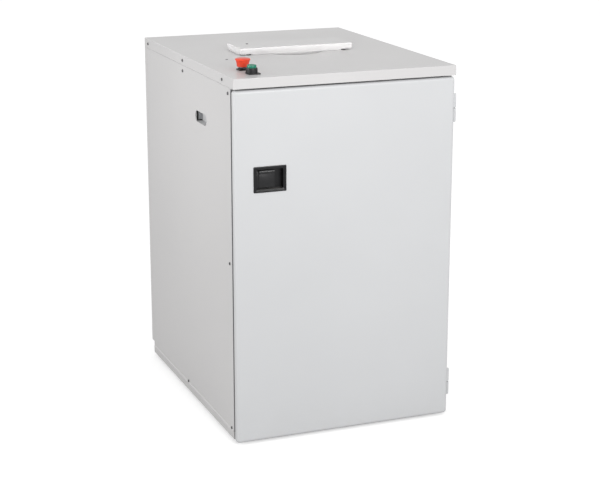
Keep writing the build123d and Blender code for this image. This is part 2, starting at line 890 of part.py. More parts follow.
# Bed knives: the front one cuts at its upper edge, the rear one at its lower edge
rear_knife_edge = sqrt(knife_edge**2 - bed_knife_plate**2)
with BuildPart() as bed_knives:
    with BuildSketch(mill_plane.offset(-mill_half)):
        Polygon(
            (-knife_back, 0),
            (-knife_edge, 0),
            (-knife_edge - bed_knife_relief, -bed_knife_plate),
            (-knife_back, -bed_knife_plate),
            align=None,
        )
        Polygon(
            (knife_back, 0),
            (rear_knife_edge + bed_knife_relief, 0),
            (rear_knife_edge, -bed_knife_plate),
            (knife_back, -bed_knife_plate),
            align=None,
        )
    extrude(amount=chamber_width)
bed_knives.part.label = "bed_knives"
export_step(bed_knives.part, "parts/bed_knives.step")

# Half-round sizing screen with hexagonal holes
screen_start = degrees(asin((bed_knife_plate + slide_gap) / screen_inner))
screen_sweep = 180 - 2 * screen_start
screen_half = mill_half - slip
hole_pitch = (chamber_width - 2 * hole_margin) / (hole_columns - 1)
with BuildPart() as sizing_screen:
    with BuildSketch(mill_plane.offset(-screen_half)):
        with BuildLine():
            outer = CenterArc((0, 0), screen_outer, 180 + screen_start, screen_sweep)
            inner = CenterArc((0, 0), screen_inner, 180 + screen_start, screen_sweep)
            Line(outer @ 0, inner @ 0)
            Line(outer @ 1, inner @ 1)
        make_face()
    extrude(amount=2 * screen_half)
    for row in range(hole_rows):
        angle = radians(180 + screen_start + screen_sweep * (row + 0.5) / hole_rows)
        outward = (0, cos(angle), sin(angle))
        row_plane = Plane(origin=(0, feed_y, rotor_z), x_dir=(1, 0, 0), z_dir=outward)
        with BuildSketch(row_plane.offset(knife_circle)):
            with GridLocations(hole_pitch, 0, hole_columns, 1):
                RegularPolygon(hole_across / 2, 6, major_radius=False)
        extrude(amount=screen_gap + 2 * screen_plate, mode=Mode.SUBTRACT)
sizing_screen.part.label = "sizing_screen"
export_step(sizing_screen.part, "parts/sizing_screen.step")

with BuildPart() as bearing_housings:
    for side, _ in sides:
        with BuildSketch(mill_plane.offset(side * (mill_half + end_plate))):
            RectangleRounded(bearing_flange_size, bearing_flange_size, bearing_flange_corner)
            Circle(shaft_radius + running_fit, mode=Mode.SUBTRACT)
        extrude(amount=side * bearing_flange)
        with BuildSketch(mill_plane.offset(side * (mill_half + end_plate + bearing_flange))):
            Circle(bearing_boss_radius)
            Circle(shaft_radius + running_fit, mode=Mode.SUBTRACT)
        extrude(amount=side * (bearing_boss - bearing_flange))
bearing_housings.part.label = "bearing_housings"
export_step(bearing_housings.part, "parts/bearing_housings.step")

housing_bolt_pitch = (chamber_width - 2 * housing_bolt_margin) / (housing_bolt_count - 1)
with BuildPart() as housing_bolts:
    with BuildSketch(plane_at_y(feed_y - housing_outer)):
        for z in (rotor_z - beam_drop / 2, rotor_z + mill_rise / 2):
            with Locations((0, z)):
                with GridLocations(housing_bolt_pitch, 0, housing_bolt_count, 1):
                    RegularPolygon(bolt_across / 2, 6, major_radius=False)
    extrude(amount=bolt_head)
    for side, _ in sides:
        with BuildSketch(mill_plane.offset(side * (mill_half + end_plate + bearing_flange))):
            with GridLocations(bearing_bolt_pitch, bearing_bolt_pitch, 2, 2):
                RegularPolygon(bolt_across / 2, 6, major_radius=False)
        extrude(amount=side * bolt_head)
housing_bolts.part.label = "housing_bolts"
export_step(housing_bolts.part, "parts/housing_bolts.step")

# Rotor: shaft, drum with a seat and a chip pocket for each knife, knives and their bolts
with BuildPart() as rotor_shaft:
    with BuildSketch(mill_plane.offset(-mill_half - end_plate - bearing_boss)):
        Circle(shaft_radius)
    extrude(amount=mill_half + end_plate + bearing_boss + pulley_right)
rotor_shaft.part.label = "rotor_shaft"
export_step(rotor_shaft.part, "parts/rotor_shaft.step")

with BuildPart() as rotor_drum:
    with BuildSketch(mill_plane.offset(-drum_length / 2)):
        Circle(rotor_radius)
        Circle(shaft_radius + running_fit, mode=Mode.SUBTRACT)
        with PolarLocations(0, knife_count):
            Polygon(
                (knife_root, 0),
                (knife_circle, 0),
                (knife_circle, pocket_open),
                (pocket_root, pocket_depth),
                (knife_root, knife_plate),
                align=None,
                mode=Mode.SUBTRACT,
            )
    extrude(amount=drum_length)
rotor_drum.part.label = "rotor_drum"
export_step(rotor_drum.part, "parts/rotor_drum.step")

knife_tip = sqrt(knife_circle**2 - knife_plate**2)
with BuildPart() as fly_knives:
    with BuildSketch(mill_plane.offset(-drum_length / 2)):
        with PolarLocations(0, knife_count):
            Polygon(
                (knife_root, 0),
                (knife_tip - knife_bevel, 0),
                (knife_tip, knife_plate),
                (knife_root, knife_plate),
                align=None,
            )
    extrude(amount=drum_length)
fly_knives.part.label = "fly_knives"
export_step(fly_knives.part, "parts/fly_knives.step")

knife_bolt_pitch = (drum_length - 2 * knife_bolt_margin) / (knife_bolt_count - 1)
with BuildPart() as knife_bolts:
    for knife in range(knife_count):
        angle = radians(360 * knife / knife_count)
        seat = (
            0,
            feed_y + knife_bolt_radius * cos(angle) - knife_plate * sin(angle),
            rotor_z + knife_bolt_radius * sin(angle) + knife_plate * cos(angle),
        )
        with BuildSketch(Plane(origin=seat, x_dir=(1, 0, 0), z_dir=(0, -sin(angle), cos(angle)))):
            with GridLocations(knife_bolt_pitch, 0, knife_bolt_count, 1):
                RegularPolygon(bolt_across / 2, 6, major_radius=False)
        extrude(amount=bolt_head)
knife_bolts.part.label = "knife_bolts"
export_step(knife_bolts.part, "parts/knife_bolts.step")

# Feed chute from the cover down to the mill's throat
chute_foot = (feed_y, mill_half - chute_mill_gap, throat_wall - chute_mill_gap)
chute_mouth = (feed_y, feed_width / 2, feed_depth / 2)
with BuildPart() as feed_chute:
    add(
        frustum(
            mill_top,
            cover_under,
            (feed_y, chute_foot[1] + sheet, chute_foot[2] + sheet),
            (feed_y, chute_mouth[1] + sheet, chute_mouth[2] + sheet),
        )
    )
    with BuildSketch(Plane.XY.offset(mill_top)):
        with Locations((0, feed_y)):
            Rectangle(2 * (mill_half + end_plate), 2 * housing_outer)
    extrude(amount=chute_flange)
    with BuildSketch(Plane.XY.offset(cover_under)):
        with Locations((0, feed_y)):
            Rectangle(feed_width + 2 * chute_lip, feed_depth + 2 * chute_lip)
    extrude(amount=-chute_flange)
    add(frustum(mill_top, cover_under, chute_foot, chute_mouth), mode=Mode.SUBTRACT)
feed_chute.part.label = "feed_chute"
export_step(feed_chute.part, "parts/feed_chute.step")

# Discharge funnel from the deck to the bin's mouth
funnel_low = deck_low - funnel_height
funnel_mouth = (feed_y, mill_half, ledge_outer)
funnel_foot = (feed_y - funnel_shift, mill_half - funnel_taper, funnel_mouth_depth / 2)
with BuildPart() as discharge_funnel:
    add(
        frustum(
            funnel_low,
            deck_low,
            (funnel_foot[0], funnel_foot[1] + sheet, funnel_foot[2] + sheet),
            (funnel_mouth[0], funnel_mouth[1] + sheet, funnel_mouth[2] + sheet),
        )
    )
    with BuildSketch(Plane.XY.offset(deck_low)):
        with Locations((0, feed_y)):
            Rectangle(chamber_width + 2 * funnel_lip, 2 * (ledge_outer + funnel_lip))
    extrude(amount=-funnel_flange)
    add(frustum(funnel_low, deck_low, funnel_foot, funnel_mouth), mode=Mode.SUBTRACT)
discharge_funnel.part.label = "discharge_funnel"
export_step(discharge_funnel.part, "parts/discharge_funnel.step")

# Waste bin with drafted walls and a turned-out rim
bin_width = body_width - 2 * bin_side_room
bin_front = frame_front + bin_front_gap
bin_rear = motor_y - motor_foot_width / 2 - bin_motor_gap
bin_top = funnel_low - bin_mouth_gap
bin_mid_y = (bin_front + bin_rear) / 2
bin_mouth = (bin_mid_y, bin_width / 2 - bin_rim, (bin_rear - bin_front) / 2 - bin_rim)
with BuildPart() as waste_bin:
    add(
        frustum(
            base_top,
            bin_top,
            (bin_mid_y, bin_mouth[1] - bin_draft, bin_mouth[2] - bin_draft),
            bin_mouth,
            bin_corner,
        )
    )
    with BuildSketch(Plane.XY.offset(bin_top)):
        with Locations((0, bin_mid_y)):
            RectangleRounded(bin_width, bin_rear - bin_front, bin_corner + bin_rim)
    extrude(amount=-bin_rim_height)
    add(
        frustum(
            base_top + bin_wall,
            bin_top,
            (bin_mid_y, bin_mouth[1] - bin_draft - bin_wall, bin_mouth[2] - bin_draft - bin_wall),
            (bin_mid_y, bin_mouth[1] - bin_wall, bin_mouth[2] - bin_wall),
            bin_corner - bin_wall,
        ),
        mode=Mode.SUBTRACT,
    )
waste_bin.part.label = "waste_bin"
export_step(waste_bin.part, "parts/waste_bin.step")

# Motor: finned body with end bells and feet, fan cowl, terminal box, and the base it stands on
motor_base_top = base_top + motor_base_height
with BuildPart() as motor_base:
    with BuildSketch(Plane.YZ.offset(motor_left)):
        with Locations((motor_y, base_top)):
            Rectangle(motor_foot_width, motor_base_height, align=(Align.CENTER, Align.MIN))
        with Locations((motor_y, base_top)):
            Rectangle(
                motor_foot_width - 2 * motor_base_plate,
                motor_base_height - motor_base_plate,
                align=(Align.CENTER, Align.MIN),
                mode=Mode.SUBTRACT,
            )
    extrude(amount=motor_length)
motor_base.part.label = "motor_base"
export_step(motor_base.part, "parts/motor_base.step")

with BuildPart() as motor_body:
    with BuildSketch(motor_plane.offset(motor_left)):
        Circle(motor_core_radius)
        with PolarLocations(motor_core_radius, motor_fin_count):
            Rectangle(2 * (motor_fin_radius - motor_core_radius), motor_fin)
    extrude(amount=motor_length)
    for start in (motor_left, motor_right - end_bell):
        with BuildSketch(motor_plane.offset(start)):
            Circle(end_bell_radius)
        extrude(amount=end_bell)
    with Locations(((motor_left + motor_right) / 2, motor_y, motor_base_top)):
        Box(motor_foot_length, motor_foot_width, motor_foot_height, align=STAND)
        Box(motor_foot_length, motor_web_width, motor_shaft_height, align=STAND)
    with Locations(((motor_left + motor_right) / 2, motor_y, motor_z)):
        Box(
            terminal_length,
            terminal_depth,
            motor_fin_radius,
            align=STAND,
        )
    with BuildSketch(motor_plane.offset(motor_right)):
        Circle(motor_shaft_radius + running_fit)
    extrude(amount=-motor_shaft_depth - slip, mode=Mode.SUBTRACT)
motor_body.part.label = "motor_body"
export_step(motor_body.part, "parts/motor_body.step")

with BuildPart() as terminal_box:
    with Locations(((motor_left + motor_right) / 2, motor_y, motor_z + motor_fin_radius)):
        Box(terminal_length, terminal_depth, terminal_height, align=STAND)
    chamfer(terminal_box.faces().sort_by(Axis.Z)[-1].edges(), corner_radius)
terminal_box.part.label = "terminal_box"
export_step(terminal_box.part, "parts/terminal_box.step")

with BuildPart() as motor_cowl:
    with BuildSketch(motor_plane.offset(motor_left)):
        Circle(cowl_radius)
    extrude(amount=-cowl_length)
    with BuildSketch(motor_plane.offset(motor_left)):
        Circle(cowl_radius - sheet)
    extrude(amount=-cowl_length + sheet, mode=Mode.SUBTRACT)
    with BuildSketch(motor_plane.offset(motor_left - cowl_length)):
        with PolarLocations(cowl_radius / 2, cowl_slot_count):
            Rectangle(cowl_radius / 2, cowl_slot)
    extrude(amount=sheet, mode=Mode.SUBTRACT)
motor_cowl.part.label = "motor_cowl"
export_step(motor_cowl.part, "parts/motor_cowl.step")

with BuildPart() as motor_shaft:
    with BuildSketch(motor_plane.offset(motor_right - motor_shaft_depth)):
        Circle(motor_shaft_radius)
    extrude(amount=pulley_right - motor_right + motor_shaft_depth)
motor_shaft.part.label = "motor_shaft"
export_step(motor_shaft.part, "parts/motor_shaft.step")

# Flat pulleys and the belt that runs round them with a small running gap
for plane, radius, bore, name in (
    (mill_plane, rotor_pulley_radius, shaft_radius, "rotor_pulley"),
    (motor_plane, motor_pulley_radius, motor_shaft_radius, "motor_pulley"),
):
    with BuildPart() as pulley:
        with BuildSketch(plane.offset(pulley_left)):
            Circle(radius)
            Circle(bore + running_fit, mode=Mode.SUBTRACT)
        extrude(amount=pulley_width)
    pulley.part.label = name
    export_step(pulley.part, f"parts/{name}.step")

with BuildPart() as drive_belt:
    with BuildSketch(Plane.YZ.offset(belt_left)):
        with Locations((feed_y, rotor_z)):
            Circle(rotor_pulley_radius + slip + belt_thickness)
        with Locations((motor_y, motor_z)):
            Circle(motor_pulley_radius + slip + belt_thickness)
        make_hull()
    extrude(amount=belt_width)
    with BuildSketch(Plane.YZ.offset(belt_left)):
        with Locations((feed_y, rotor_z)):
            Circle(rotor_pulley_radius + slip)
        with Locations((motor_y, motor_z)):
            Circle(motor_pulley_radius + slip)
        make_hull()
    extrude(amount=belt_width, mode=Mode.SUBTRACT)
drive_belt.part.label = "drive_belt"
export_step(drive_belt.part, "parts/drive_belt.step")

# Control box on the deck, behind the mill
box_x = -inner_x + box_side_room + box_width / 2
box_y = deck_rear - box_rear_gap - box_depth / 2
with BuildPart() as control_box:
    with Locations((box_x, box_y, deck_top)):
        Box(box_width, box_depth, box_height, align=STAND)
    with Locations((box_x, box_y - box_depth / 2, deck_top + box_lid_step)):
        Box(
            box_width + 2 * box_lid_step,
            box_lid,
            box_height,
            align=(Align.CENTER, Align.MAX, Align.MIN),
        )
    fillet(control_box.faces().sort_by(Axis.Y)[0].edges(), corner_radius)
control_box.part.label = "control_box"
export_step(control_box.part, "parts/control_box.step")

# Door: folded pan with a return all round its back, and a hole for the latch cup
cup_outer_width = cup_width + 2 * cup_wall
cup_outer_height = cup_height + 2 * cup_wall
with BuildPart() as door_hollow:
    with BuildSketch(plane_at_y(front_y + sheet)):
        with Locations(door_mid):
            Rectangle(door_width - 2 * sheet, door_height - 2 * sheet)
    extrude(amount=-door_thickness + 2 * sheet)
    rim = door_hollow.faces().sort_by(Axis.Y)[0].edges()
    fillet(door_hollow.edges().filter_by(Axis.Y) + rim, door_edge_radius - sheet)

with BuildPart() as door_shell:
    with BuildSketch(plane_at_y(front_y)):
        with Locations(door_mid):
            Rectangle(door_width, door_height)
    extrude(amount=-door_thickness)
    rim = door_shell.faces().sort_by(Axis.Y)[0].edges()
    fillet(door_shell.edges().filter_by(Axis.Y) + rim, door_edge_radius)
    add(door_hollow.part, mode=Mode.SUBTRACT)
    with BuildSketch(plane_at_y(door_back - sheet)):
        with Locations(door_mid):
            Rectangle(door_width - 2 * door_return, door_height - 2 * door_return)
    extrude(amount=-sheet, mode=Mode.SUBTRACT)
    with BuildSketch(plane_at_y(front_y)):
        with Locations((latch_x, latch_z)):
            Rectangle(cup_outer_width + 2 * slip, cup_outer_height + 2 * slip)
    extrude(amount=-sheet, mode=Mode.SUBTRACT)
door_shell.part.label = "door_shell"
export_step(door_shell.part, "parts/door_shell.step")

with BuildPart() as door_liner:
    with BuildSketch(plane_at_y(front_y + sheet)):
        with Locations(door_mid):
            Rectangle(
                door_width - 2 * (sheet + liner_margin),
                door_height - 2 * (sheet + liner_margin),
            )
        with Locations((latch_x, latch_z)):
            Rectangle(
                cup_outer_width + 2 * liner_margin,
                cup_outer_height + 2 * liner_margin,
                mode=Mode.SUBTRACT,
            )
    extrude(amount=-liner_thickness)
door_liner.part.label = "door_liner"
export_step(door_liner.part, "parts/door_liner.step")

# Seal strips round the door opening, broken at the hinges
seal_left = door_left + seal_inset + seal_width / 2
seal_right = door_right - seal_inset - seal_width / 2
hinge_clear = hinge_length / 2 + seal_width
right_runs = (
    (panel_low + seam, hinge_heights[0] - hinge_clear),
    (hinge_heights[0] + hinge_clear, hinge_heights[1] - hinge_clear),
)
seal_high = door_high - door_return
with BuildPart() as door_seal:
    with BuildSketch(plane_at_y(frame_front)):
        with Locations((seal_left, panel_low + seam)):
            Rectangle(seal_width, seal_high - panel_low - seam, align=(Align.CENTER, Align.MIN))
        for low, high in right_runs:
            with Locations((seal_right, low)):
                Rectangle(seal_width, high - low, align=(Align.CENTER, Align.MIN))
        with Locations((0, band_top - seal_inset)):
            Rectangle(2 * rail_x, seal_width, align=(Align.CENTER, Align.MAX))
    extrude(amount=door_gap - slip)
    with BuildSketch(plane_at_y(frame_front + sheet)):
        with Locations((0, seal_high)):
            Rectangle(2 * rail_x, seal_width, align=(Align.CENTER, Align.MIN))
    extrude(amount=door_gap + sheet - slip)
door_seal.part.label = "door_seal"
export_step(door_seal.part, "parts/door_seal.step")

# Lift-off hinges: the frame half carries the pin, the door half drops over it
with BuildPart() as hinge_frame_leaves:
    for z in hinge_heights:
        low = z - hinge_length / 2
        with BuildSketch(Plane.XY.offset(low)):
            with Locations((hinge_x, hinge_y)):
                Circle(hinge_radius)
            with Locations((hinge_x, frame_front)):
                Rectangle(hinge_leaf_reach, hinge_leaf, align=(Align.MAX, Align.MAX))
        extrude(amount=knuckle)
        with BuildSketch(Plane.XY.offset(low)):
            with Locations((hinge_x, hinge_y)):
                Circle(hinge_pin_radius)
        extrude(amount=hinge_length - hinge_gap)
hinge_frame_leaves.part.label = "hinge_frame_leaves"
export_step(hinge_frame_leaves.part, "parts/hinge_frame_leaves.step")

with BuildPart() as hinge_door_leaves:
    for z in hinge_heights:
        with BuildSketch(Plane.XY.offset(z + hinge_gap / 2)):
            with Locations((hinge_x, hinge_y)):
                Circle(hinge_radius)
            with Locations((hinge_x, door_back)):
                Rectangle(hinge_leaf_reach, hinge_leaf, align=(Align.MAX, Align.MIN))
            with Locations((hinge_x, hinge_y)):
                Circle(hinge_pin_radius + running_fit, mode=Mode.SUBTRACT)
        extrude(amount=knuckle)
hinge_door_leaves.part.label = "hinge_door_leaves"
export_step(hinge_door_leaves.part, "parts/hinge_door_leaves.step")

# Flush latch: bezel and cup in the door, a paddle on pegs at its left, and a bolt behind the cup
cup_left = latch_x - cup_width / 2
cup_back = front_y + cup_depth + cup_wall
pivot_x = cup_left + pivot_radius + slip
pivot_y = front_y + paddle_sunk + pivot_radius
paddle_height = cup_height - 2 * paddle_side_gap
bolt_front = cup_back + slip
bolt_left = door_left + panel_return + strike_reach + strike_gap
guide_height = bolt_height + 2 * slip
with BuildPart() as latch_cup:
    with BuildSketch(plane_at_y(front_y)):
        with Locations((latch_x, latch_z)):
            RectangleRounded(bezel_width, bezel_height, bezel_radius)
    extrude(amount=bezel_proud)
    with BuildSketch(plane_at_y(front_y)):
        with Locations((latch_x, latch_z)):
            Rectangle(cup_outer_width, cup_outer_height)
    extrude(amount=-cup_depth - cup_wall)
    with BuildSketch(plane_at_y(front_y - bezel_proud)):
        with Locations((latch_x, latch_z)):
            Rectangle(cup_width, cup_height)
    extrude(amount=-bezel_proud - cup_depth, mode=Mode.SUBTRACT)
    chamfer(latch_cup.faces().sort_by(Axis.Y)[0].inner_wires()[0].edges(), bezel_slope)
    with BuildSketch(plane_at_y(cup_back)):
        with Locations(
            (latch_x, latch_z + (guide_height + guide_rib) / 2),
            (latch_x, latch_z - (guide_height + guide_rib) / 2),
        ):
            Rectangle(cup_outer_width, guide_rib)
    extrude(amount=-guide_depth)
    with BuildSketch(Plane.XY.offset(latch_z - cup_outer_height / 2)):
        with Locations((pivot_x, pivot_y)):
            Circle(peg_radius + running_fit)
    extrude(amount=cup_outer_height, mode=Mode.SUBTRACT)
latch_cup.part.label = "latch_cup"
export_step(latch_cup.part, "parts/latch_cup.step")

with BuildPart() as latch_paddle:
    with BuildSketch(Plane.XY.offset(latch_z - paddle_height / 2)):
        with Locations((pivot_x, pivot_y)):
            Circle(pivot_radius)
        with Locations((pivot_x, front_y + paddle_sunk)):
            Rectangle(paddle_width, paddle_thickness, align=(Align.MIN, Align.MIN))
    extrude(amount=paddle_height)
    fillet(latch_paddle.edges().filter_by(Axis.Z).sort_by(Axis.X)[-2:], paddle_edge_radius)
    with BuildSketch(Plane.XY.offset(latch_z - cup_outer_height / 2)):
        with Locations((pivot_x, pivot_y)):
            Circle(peg_radius)
    extrude(amount=cup_outer_height)
latch_paddle.part.label = "latch_paddle"
export_step(latch_paddle.part, "parts/latch_paddle.step")

with BuildPart() as latch_bolt:
    with BuildSketch(Plane.XY.offset(latch_z - bolt_height / 2)):
        with Locations((bolt_left, bolt_front)):
            Rectangle(bolt_length, bolt_plate, align=(Align.MIN, Align.MIN))
            Rectangle(bolt_nose, bolt_reach, align=(Align.MIN, Align.MIN))
    extrude(amount=bolt_height)
    nose = latch_bolt.edges().filter_by(Axis.Z).group_by(Axis.X)[0].sort_by(Axis.Y)[-1]
    chamfer(nose, bolt_nose_bevel)
latch_bolt.part.label = "latch_bolt"
export_step(latch_bolt.part, "parts/latch_bolt.step")

with BuildPart() as latch_strike:
    with BuildSketch(plane_at_y(frame_front)):
        with Locations((bolt_left - strike_gap, latch_z)):
            Rectangle(strike_overlap + strike_reach, strike_height, align=(Align.MAX, Align.CENTER))
    extrude(amount=hinge_leaf)
latch_strike.part.label = "latch_strike"
export_step(latch_strike.part, "parts/latch_strike.step")
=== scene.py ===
import json
import math
from typing import NamedTuple

import bmesh
import bpy
import numpy as np
from bpy.props import FloatProperty, FloatVectorProperty, IntProperty, PointerProperty
from bpy.types import Operator, Panel, PropertyGroup
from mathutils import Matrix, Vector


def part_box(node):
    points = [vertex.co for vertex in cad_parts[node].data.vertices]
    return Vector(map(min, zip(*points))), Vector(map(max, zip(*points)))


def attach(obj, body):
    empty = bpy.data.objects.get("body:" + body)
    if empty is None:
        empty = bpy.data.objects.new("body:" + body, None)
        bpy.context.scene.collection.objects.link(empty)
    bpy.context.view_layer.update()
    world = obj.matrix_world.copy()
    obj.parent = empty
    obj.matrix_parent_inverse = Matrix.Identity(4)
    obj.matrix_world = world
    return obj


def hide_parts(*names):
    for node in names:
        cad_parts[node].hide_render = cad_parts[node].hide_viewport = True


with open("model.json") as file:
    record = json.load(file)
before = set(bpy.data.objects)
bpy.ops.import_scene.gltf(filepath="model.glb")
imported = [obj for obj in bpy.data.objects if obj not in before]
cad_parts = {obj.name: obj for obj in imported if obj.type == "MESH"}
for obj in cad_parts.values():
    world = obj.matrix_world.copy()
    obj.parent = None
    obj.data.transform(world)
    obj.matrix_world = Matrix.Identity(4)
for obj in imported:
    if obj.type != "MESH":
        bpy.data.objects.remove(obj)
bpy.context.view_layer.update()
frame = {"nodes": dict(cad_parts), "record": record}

bl_info = {
    "name": "Disintegrator Looks",
    "version": (1, 0, 0),
    "blender": (4, 5, 0),
    "location": "3D View > Sidebar > Disintegrator",
    "description": "Finishes, controls, trim and studio for a floor-standing media disintegrator",
    "category": "Object",
}

SLOT_OF = {part["node"]: part["material_slot"] for part in frame["record"]["subparts"]}
MM = 0.001
FULL = 2 * math.pi
RIGHT, FRONT, BACK, UP = (1, 0, 0), (0, -1, 0), (0, 1, 0), (0, 0, 1)

# Rows are the directions of local across, up and out on each side of the cabinet
SIDES = {
    "front": np.array(((1, 0, 0), (0, 0, 1), (0, -1, 0)), float),
    "rear": np.array(((-1, 0, 0), (0, 0, 1), (0, 1, 0)), float),
    "left": np.array(((0, -1, 0), (0, 0, 1), (-1, 0, 0)), float),
    "right": np.array(((0, 1, 0), (0, 0, 1), (1, 0, 0)), float),
    "top": np.array(((1, 0, 0), (0, 1, 0), (0, 0, 1)), float),
    "under": np.array(((1, 0, 0), (0, -1, 0), (0, 0, -1)), float),
}


def corners(node):
    """Lowest and highest corner of a CAD node in millimetres."""
    low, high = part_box(node)
    return np.array(low) / MM, np.array(high) / MM


def seat(points, side, origin):
    """Local (across, up, out) to the cabinet's frame: origin + across * A + up * B + out * C."""
    return np.asarray(points, float) @ SIDES[side] + np.asarray(origin, float)


def loft(rings, ring=False, caps=(True, True)):
    """Skin over equal loops: point j of loop i joins point j + 1 and loop i + 1, and flat faces end it."""
    rings = np.asarray(rings, float)
    index = np.arange(rings.shape[0] * rings.shape[1]).reshape(rings.shape[:2])
    here = index if ring else index[:-1]
    there = np.roll(index, -1, axis=0) if ring else index[1:]
    quads = np.stack((here, np.roll(here, -1, axis=1), np.roll(there, -1, axis=1), there), axis=-1)
    ends = [] if ring else [end for end, wanted in zip((index[0][::-1], index[-1]), caps) if wanted]
    return rings.reshape(-1, 3), quads.reshape(-1, 4), ends


def rounded_loop(width, height, radius, corner=5):
    """Rectangle with round corners: corner centre + radius * (cos t, sin t), t over each quarter turn."""
    turn = np.linspace(0, math.pi / 2, corner + 1) + np.arange(4)[:, None] * math.pi / 2
    middle = np.array(((1, 1), (-1, 1), (-1, -1), (1, -1))) * (width / 2 - radius, height / 2 - radius)
    return (middle[:, None, :] + radius * np.stack((np.cos(turn), np.sin(turn)), axis=-1)).reshape(-1, 2)


def sleeve(sections, side, origin, corner=5):
    """Rounded rectangles (width, height, radius, out) stacked along the outward direction and skinned."""
    rings = []
    for width, height, radius, out in sections:
        loop = rounded_loop(width, height, radius, corner)
        rings.append(seat(np.column_stack((loop, np.full(len(loop), out))), side, origin))
    return loft(rings)


def turned(profile, side, origin, segments=36, ring=False, flute=0.6):
    """Profile (r, h, form) turned about the outward axis: (r cos t, r sin t, h).

    A positive form n makes n flats, r / cos((t mod 2 pi / n) - pi / n). A negative form makes that many
    flutes, r - flute * (1 + cos(n t)) / 2.
    """
    rows = np.array([(*row, 0)[:3] for row in profile], float)
    t = np.linspace(0, FULL, segments, endpoint=False)
    radius = np.repeat(rows[:, :1], segments, axis=1)
    form = rows[:, 2]
    for count in np.unique(form[form > 0]):
        flats = form == count
        radius[flats] = radius[flats] / np.cos(np.mod(t, FULL / count) - math.pi / count)
    for count in np.unique(form[form < 0]):
        cut = form == count
        radius[cut] = radius[cut] - flute * (1 + np.cos(count * t)) / 2
    height = np.repeat(rows[:, 1:2], segments, axis=1)
    points = np.stack((radius * np.cos(t), radius * np.sin(t), height), axis=-1)
    return loft(seat(points, side, origin), ring, (rows[0, 0] > 0, rows[-1, 0] > 0))


def bar(loop, start, end, across, up):
    """Loop (a, b) carried straight from start to end: point + a * across + b * up."""
    flat = loop[:, :1] * np.asarray(across, float) + loop[:, 1:] * np.asarray(up, float)
    return loft([flat + np.asarray(start, float), flat + np.asarray(end, float)])


def carried(loop, path, outward, across):
    """Loop (a, b) carried round a closed path: path point + a * across + b * the outward direction there."""
    ring = path[:, None, :] + loop[None, :, :1] * np.asarray(across, float)
    return loft(ring + loop[None, :, 1:] * outward[:, None, :], ring=True)


def grid_faces(shape):
    """Numbers of a grid's points, and faces that join each point to the next along both directions."""
    index = np.arange(shape[0] * shape[1]).reshape(shape)
    faces = np.stack((index[:-1, :-1], index[1:, :-1], index[1:, 1:], index[:-1, 1:]), axis=-1)
    return index, faces.reshape(-1, 4)


def hex_head(side, origin, across=14.0, height=6.0, washer=9.0):
    """Hexagon head on a washer: washer edge, flats up to a turned chamfer, then a flat top."""
    half = across / 2
    profile = (
        (washer, 0),
        (washer, 1.0),
        (washer - 0.4, 1.3),
        (half * 0.98, 1.3, 6),
        (half, 1.6, 6),
        (half, height - 0.9, 6),
        (half * 1.02, height - 0.35),
        (half * 0.92, height),
    )
    return turned(profile, side, origin, 36)


def pan_head(side, origin, radius=4.0, height=2.2):
    """Domed screw head with a hexagon socket sunk in its middle."""
    socket = radius * 0.42
    profile = (
        (radius, 0),
        (radius, height * 0.25),
        (radius * 0.93, height * 0.62),
        (radius * 0.72, height * 0.92),
        (socket * 1.35, height),
        (socket, height, 6),
        (socket * 0.96, height * 0.35, 6),
        (0, height * 0.25),
    )
    return turned(profile, side, origin, 24)


def gland(side, origin, radius=9.0, reach=20.0):
    """Cable gland with a hexagon body, a domed nut and a blanking disc in its mouth."""
    profile = (
        (radius * 1.1, 0, 6),
        (radius * 1.1, reach * 0.3, 6),
        (radius, reach * 0.36, 6),
        (radius, reach * 0.72, 6),
        (radius * 0.86, reach * 0.92),
        (radius * 0.62, reach),
        (radius * 0.55, reach * 0.94),
        (0, reach * 0.93),
    )
    return turned(profile, side, origin, 36)


def button_base(size, corner, spot, low, bore=0.0, shift=0.0):
    """Square plate, threaded barrel down to a height, and nut of a push-button, with a bore for a stem."""
    x, y, z = spot
    plate = (
        (size - 1, size - 1, corner, 0),
        (size, size, corner, 0.4),
        (size, size, corner, 2.2),
        (size - 1.4, size - 1.4, corner, 3.0),
    )
    thread, pitch_depth = 11.0, 0.5
    ridges = np.linspace(-2.0, low - z, 34)
    barrel = [(thread, 0.2), *((thread - pitch_depth * (i % 2), ridge) for i, ridge in enumerate(ridges))]
    if bore:
        barrel = [(bore, 0.2), *barrel, (bore, ridges[-1])]
    nut = [(11.1, -2.2, 6), (16.0, -2.2, 6), (16.0, -7.0, 6), (11.1, -7.0, 6)]
    return [
        sleeve(plate, "top", (x + shift, y, z)),
        turned(barrel, "top", spot, ring=bool(bore)),
        turned(nut, "top", spot, ring=True),
    ]


def piece(name, shapes, body, slot, replaced=(), angle=35.0):
    """One closed mesh from several shapes, in place, riding on a body and finished from a record slot."""
    starts = np.cumsum([0] + [len(points) for points, _, _ in shapes])
    faces = np.concatenate([quads + start for (_, quads, _), start in zip(shapes, starts)]).tolist()
    for (_, _, ends), start in zip(shapes, starts):
        faces += [(end + start).tolist() for end in ends]
    mesh = bpy.data.meshes.new(name)
    mesh.from_pydata(np.concatenate([points for points, _, _ in shapes]) * MM, [], faces)
    shell = bmesh.new()
    shell.from_mesh(mesh)
    bmesh.ops.remove_doubles(shell, verts=shell.verts, dist=1e-6)
    bmesh.ops.recalc_face_normals(shell, faces=shell.faces)
    shell.to_mesh(mesh)
    shell.free()
    mesh.shade_smooth()
    mesh.set_sharp_from_angle(angle=math.radians(angle))
    mesh.materials.append(finish(slot))
    made = bpy.data.objects.new(name, mesh)
    bpy.context.scene.collection.objects.link(made)
    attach(made, body)
    if replaced:
        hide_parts(*replaced)
    return made


# finishes


def feed(tree, socket, value):
    """Links a socket to another one, or sets it to a value."""
    if isinstance(value, bpy.types.NodeSocket):
        tree.links.new(value, socket)
    else:
        socket.default_value = value


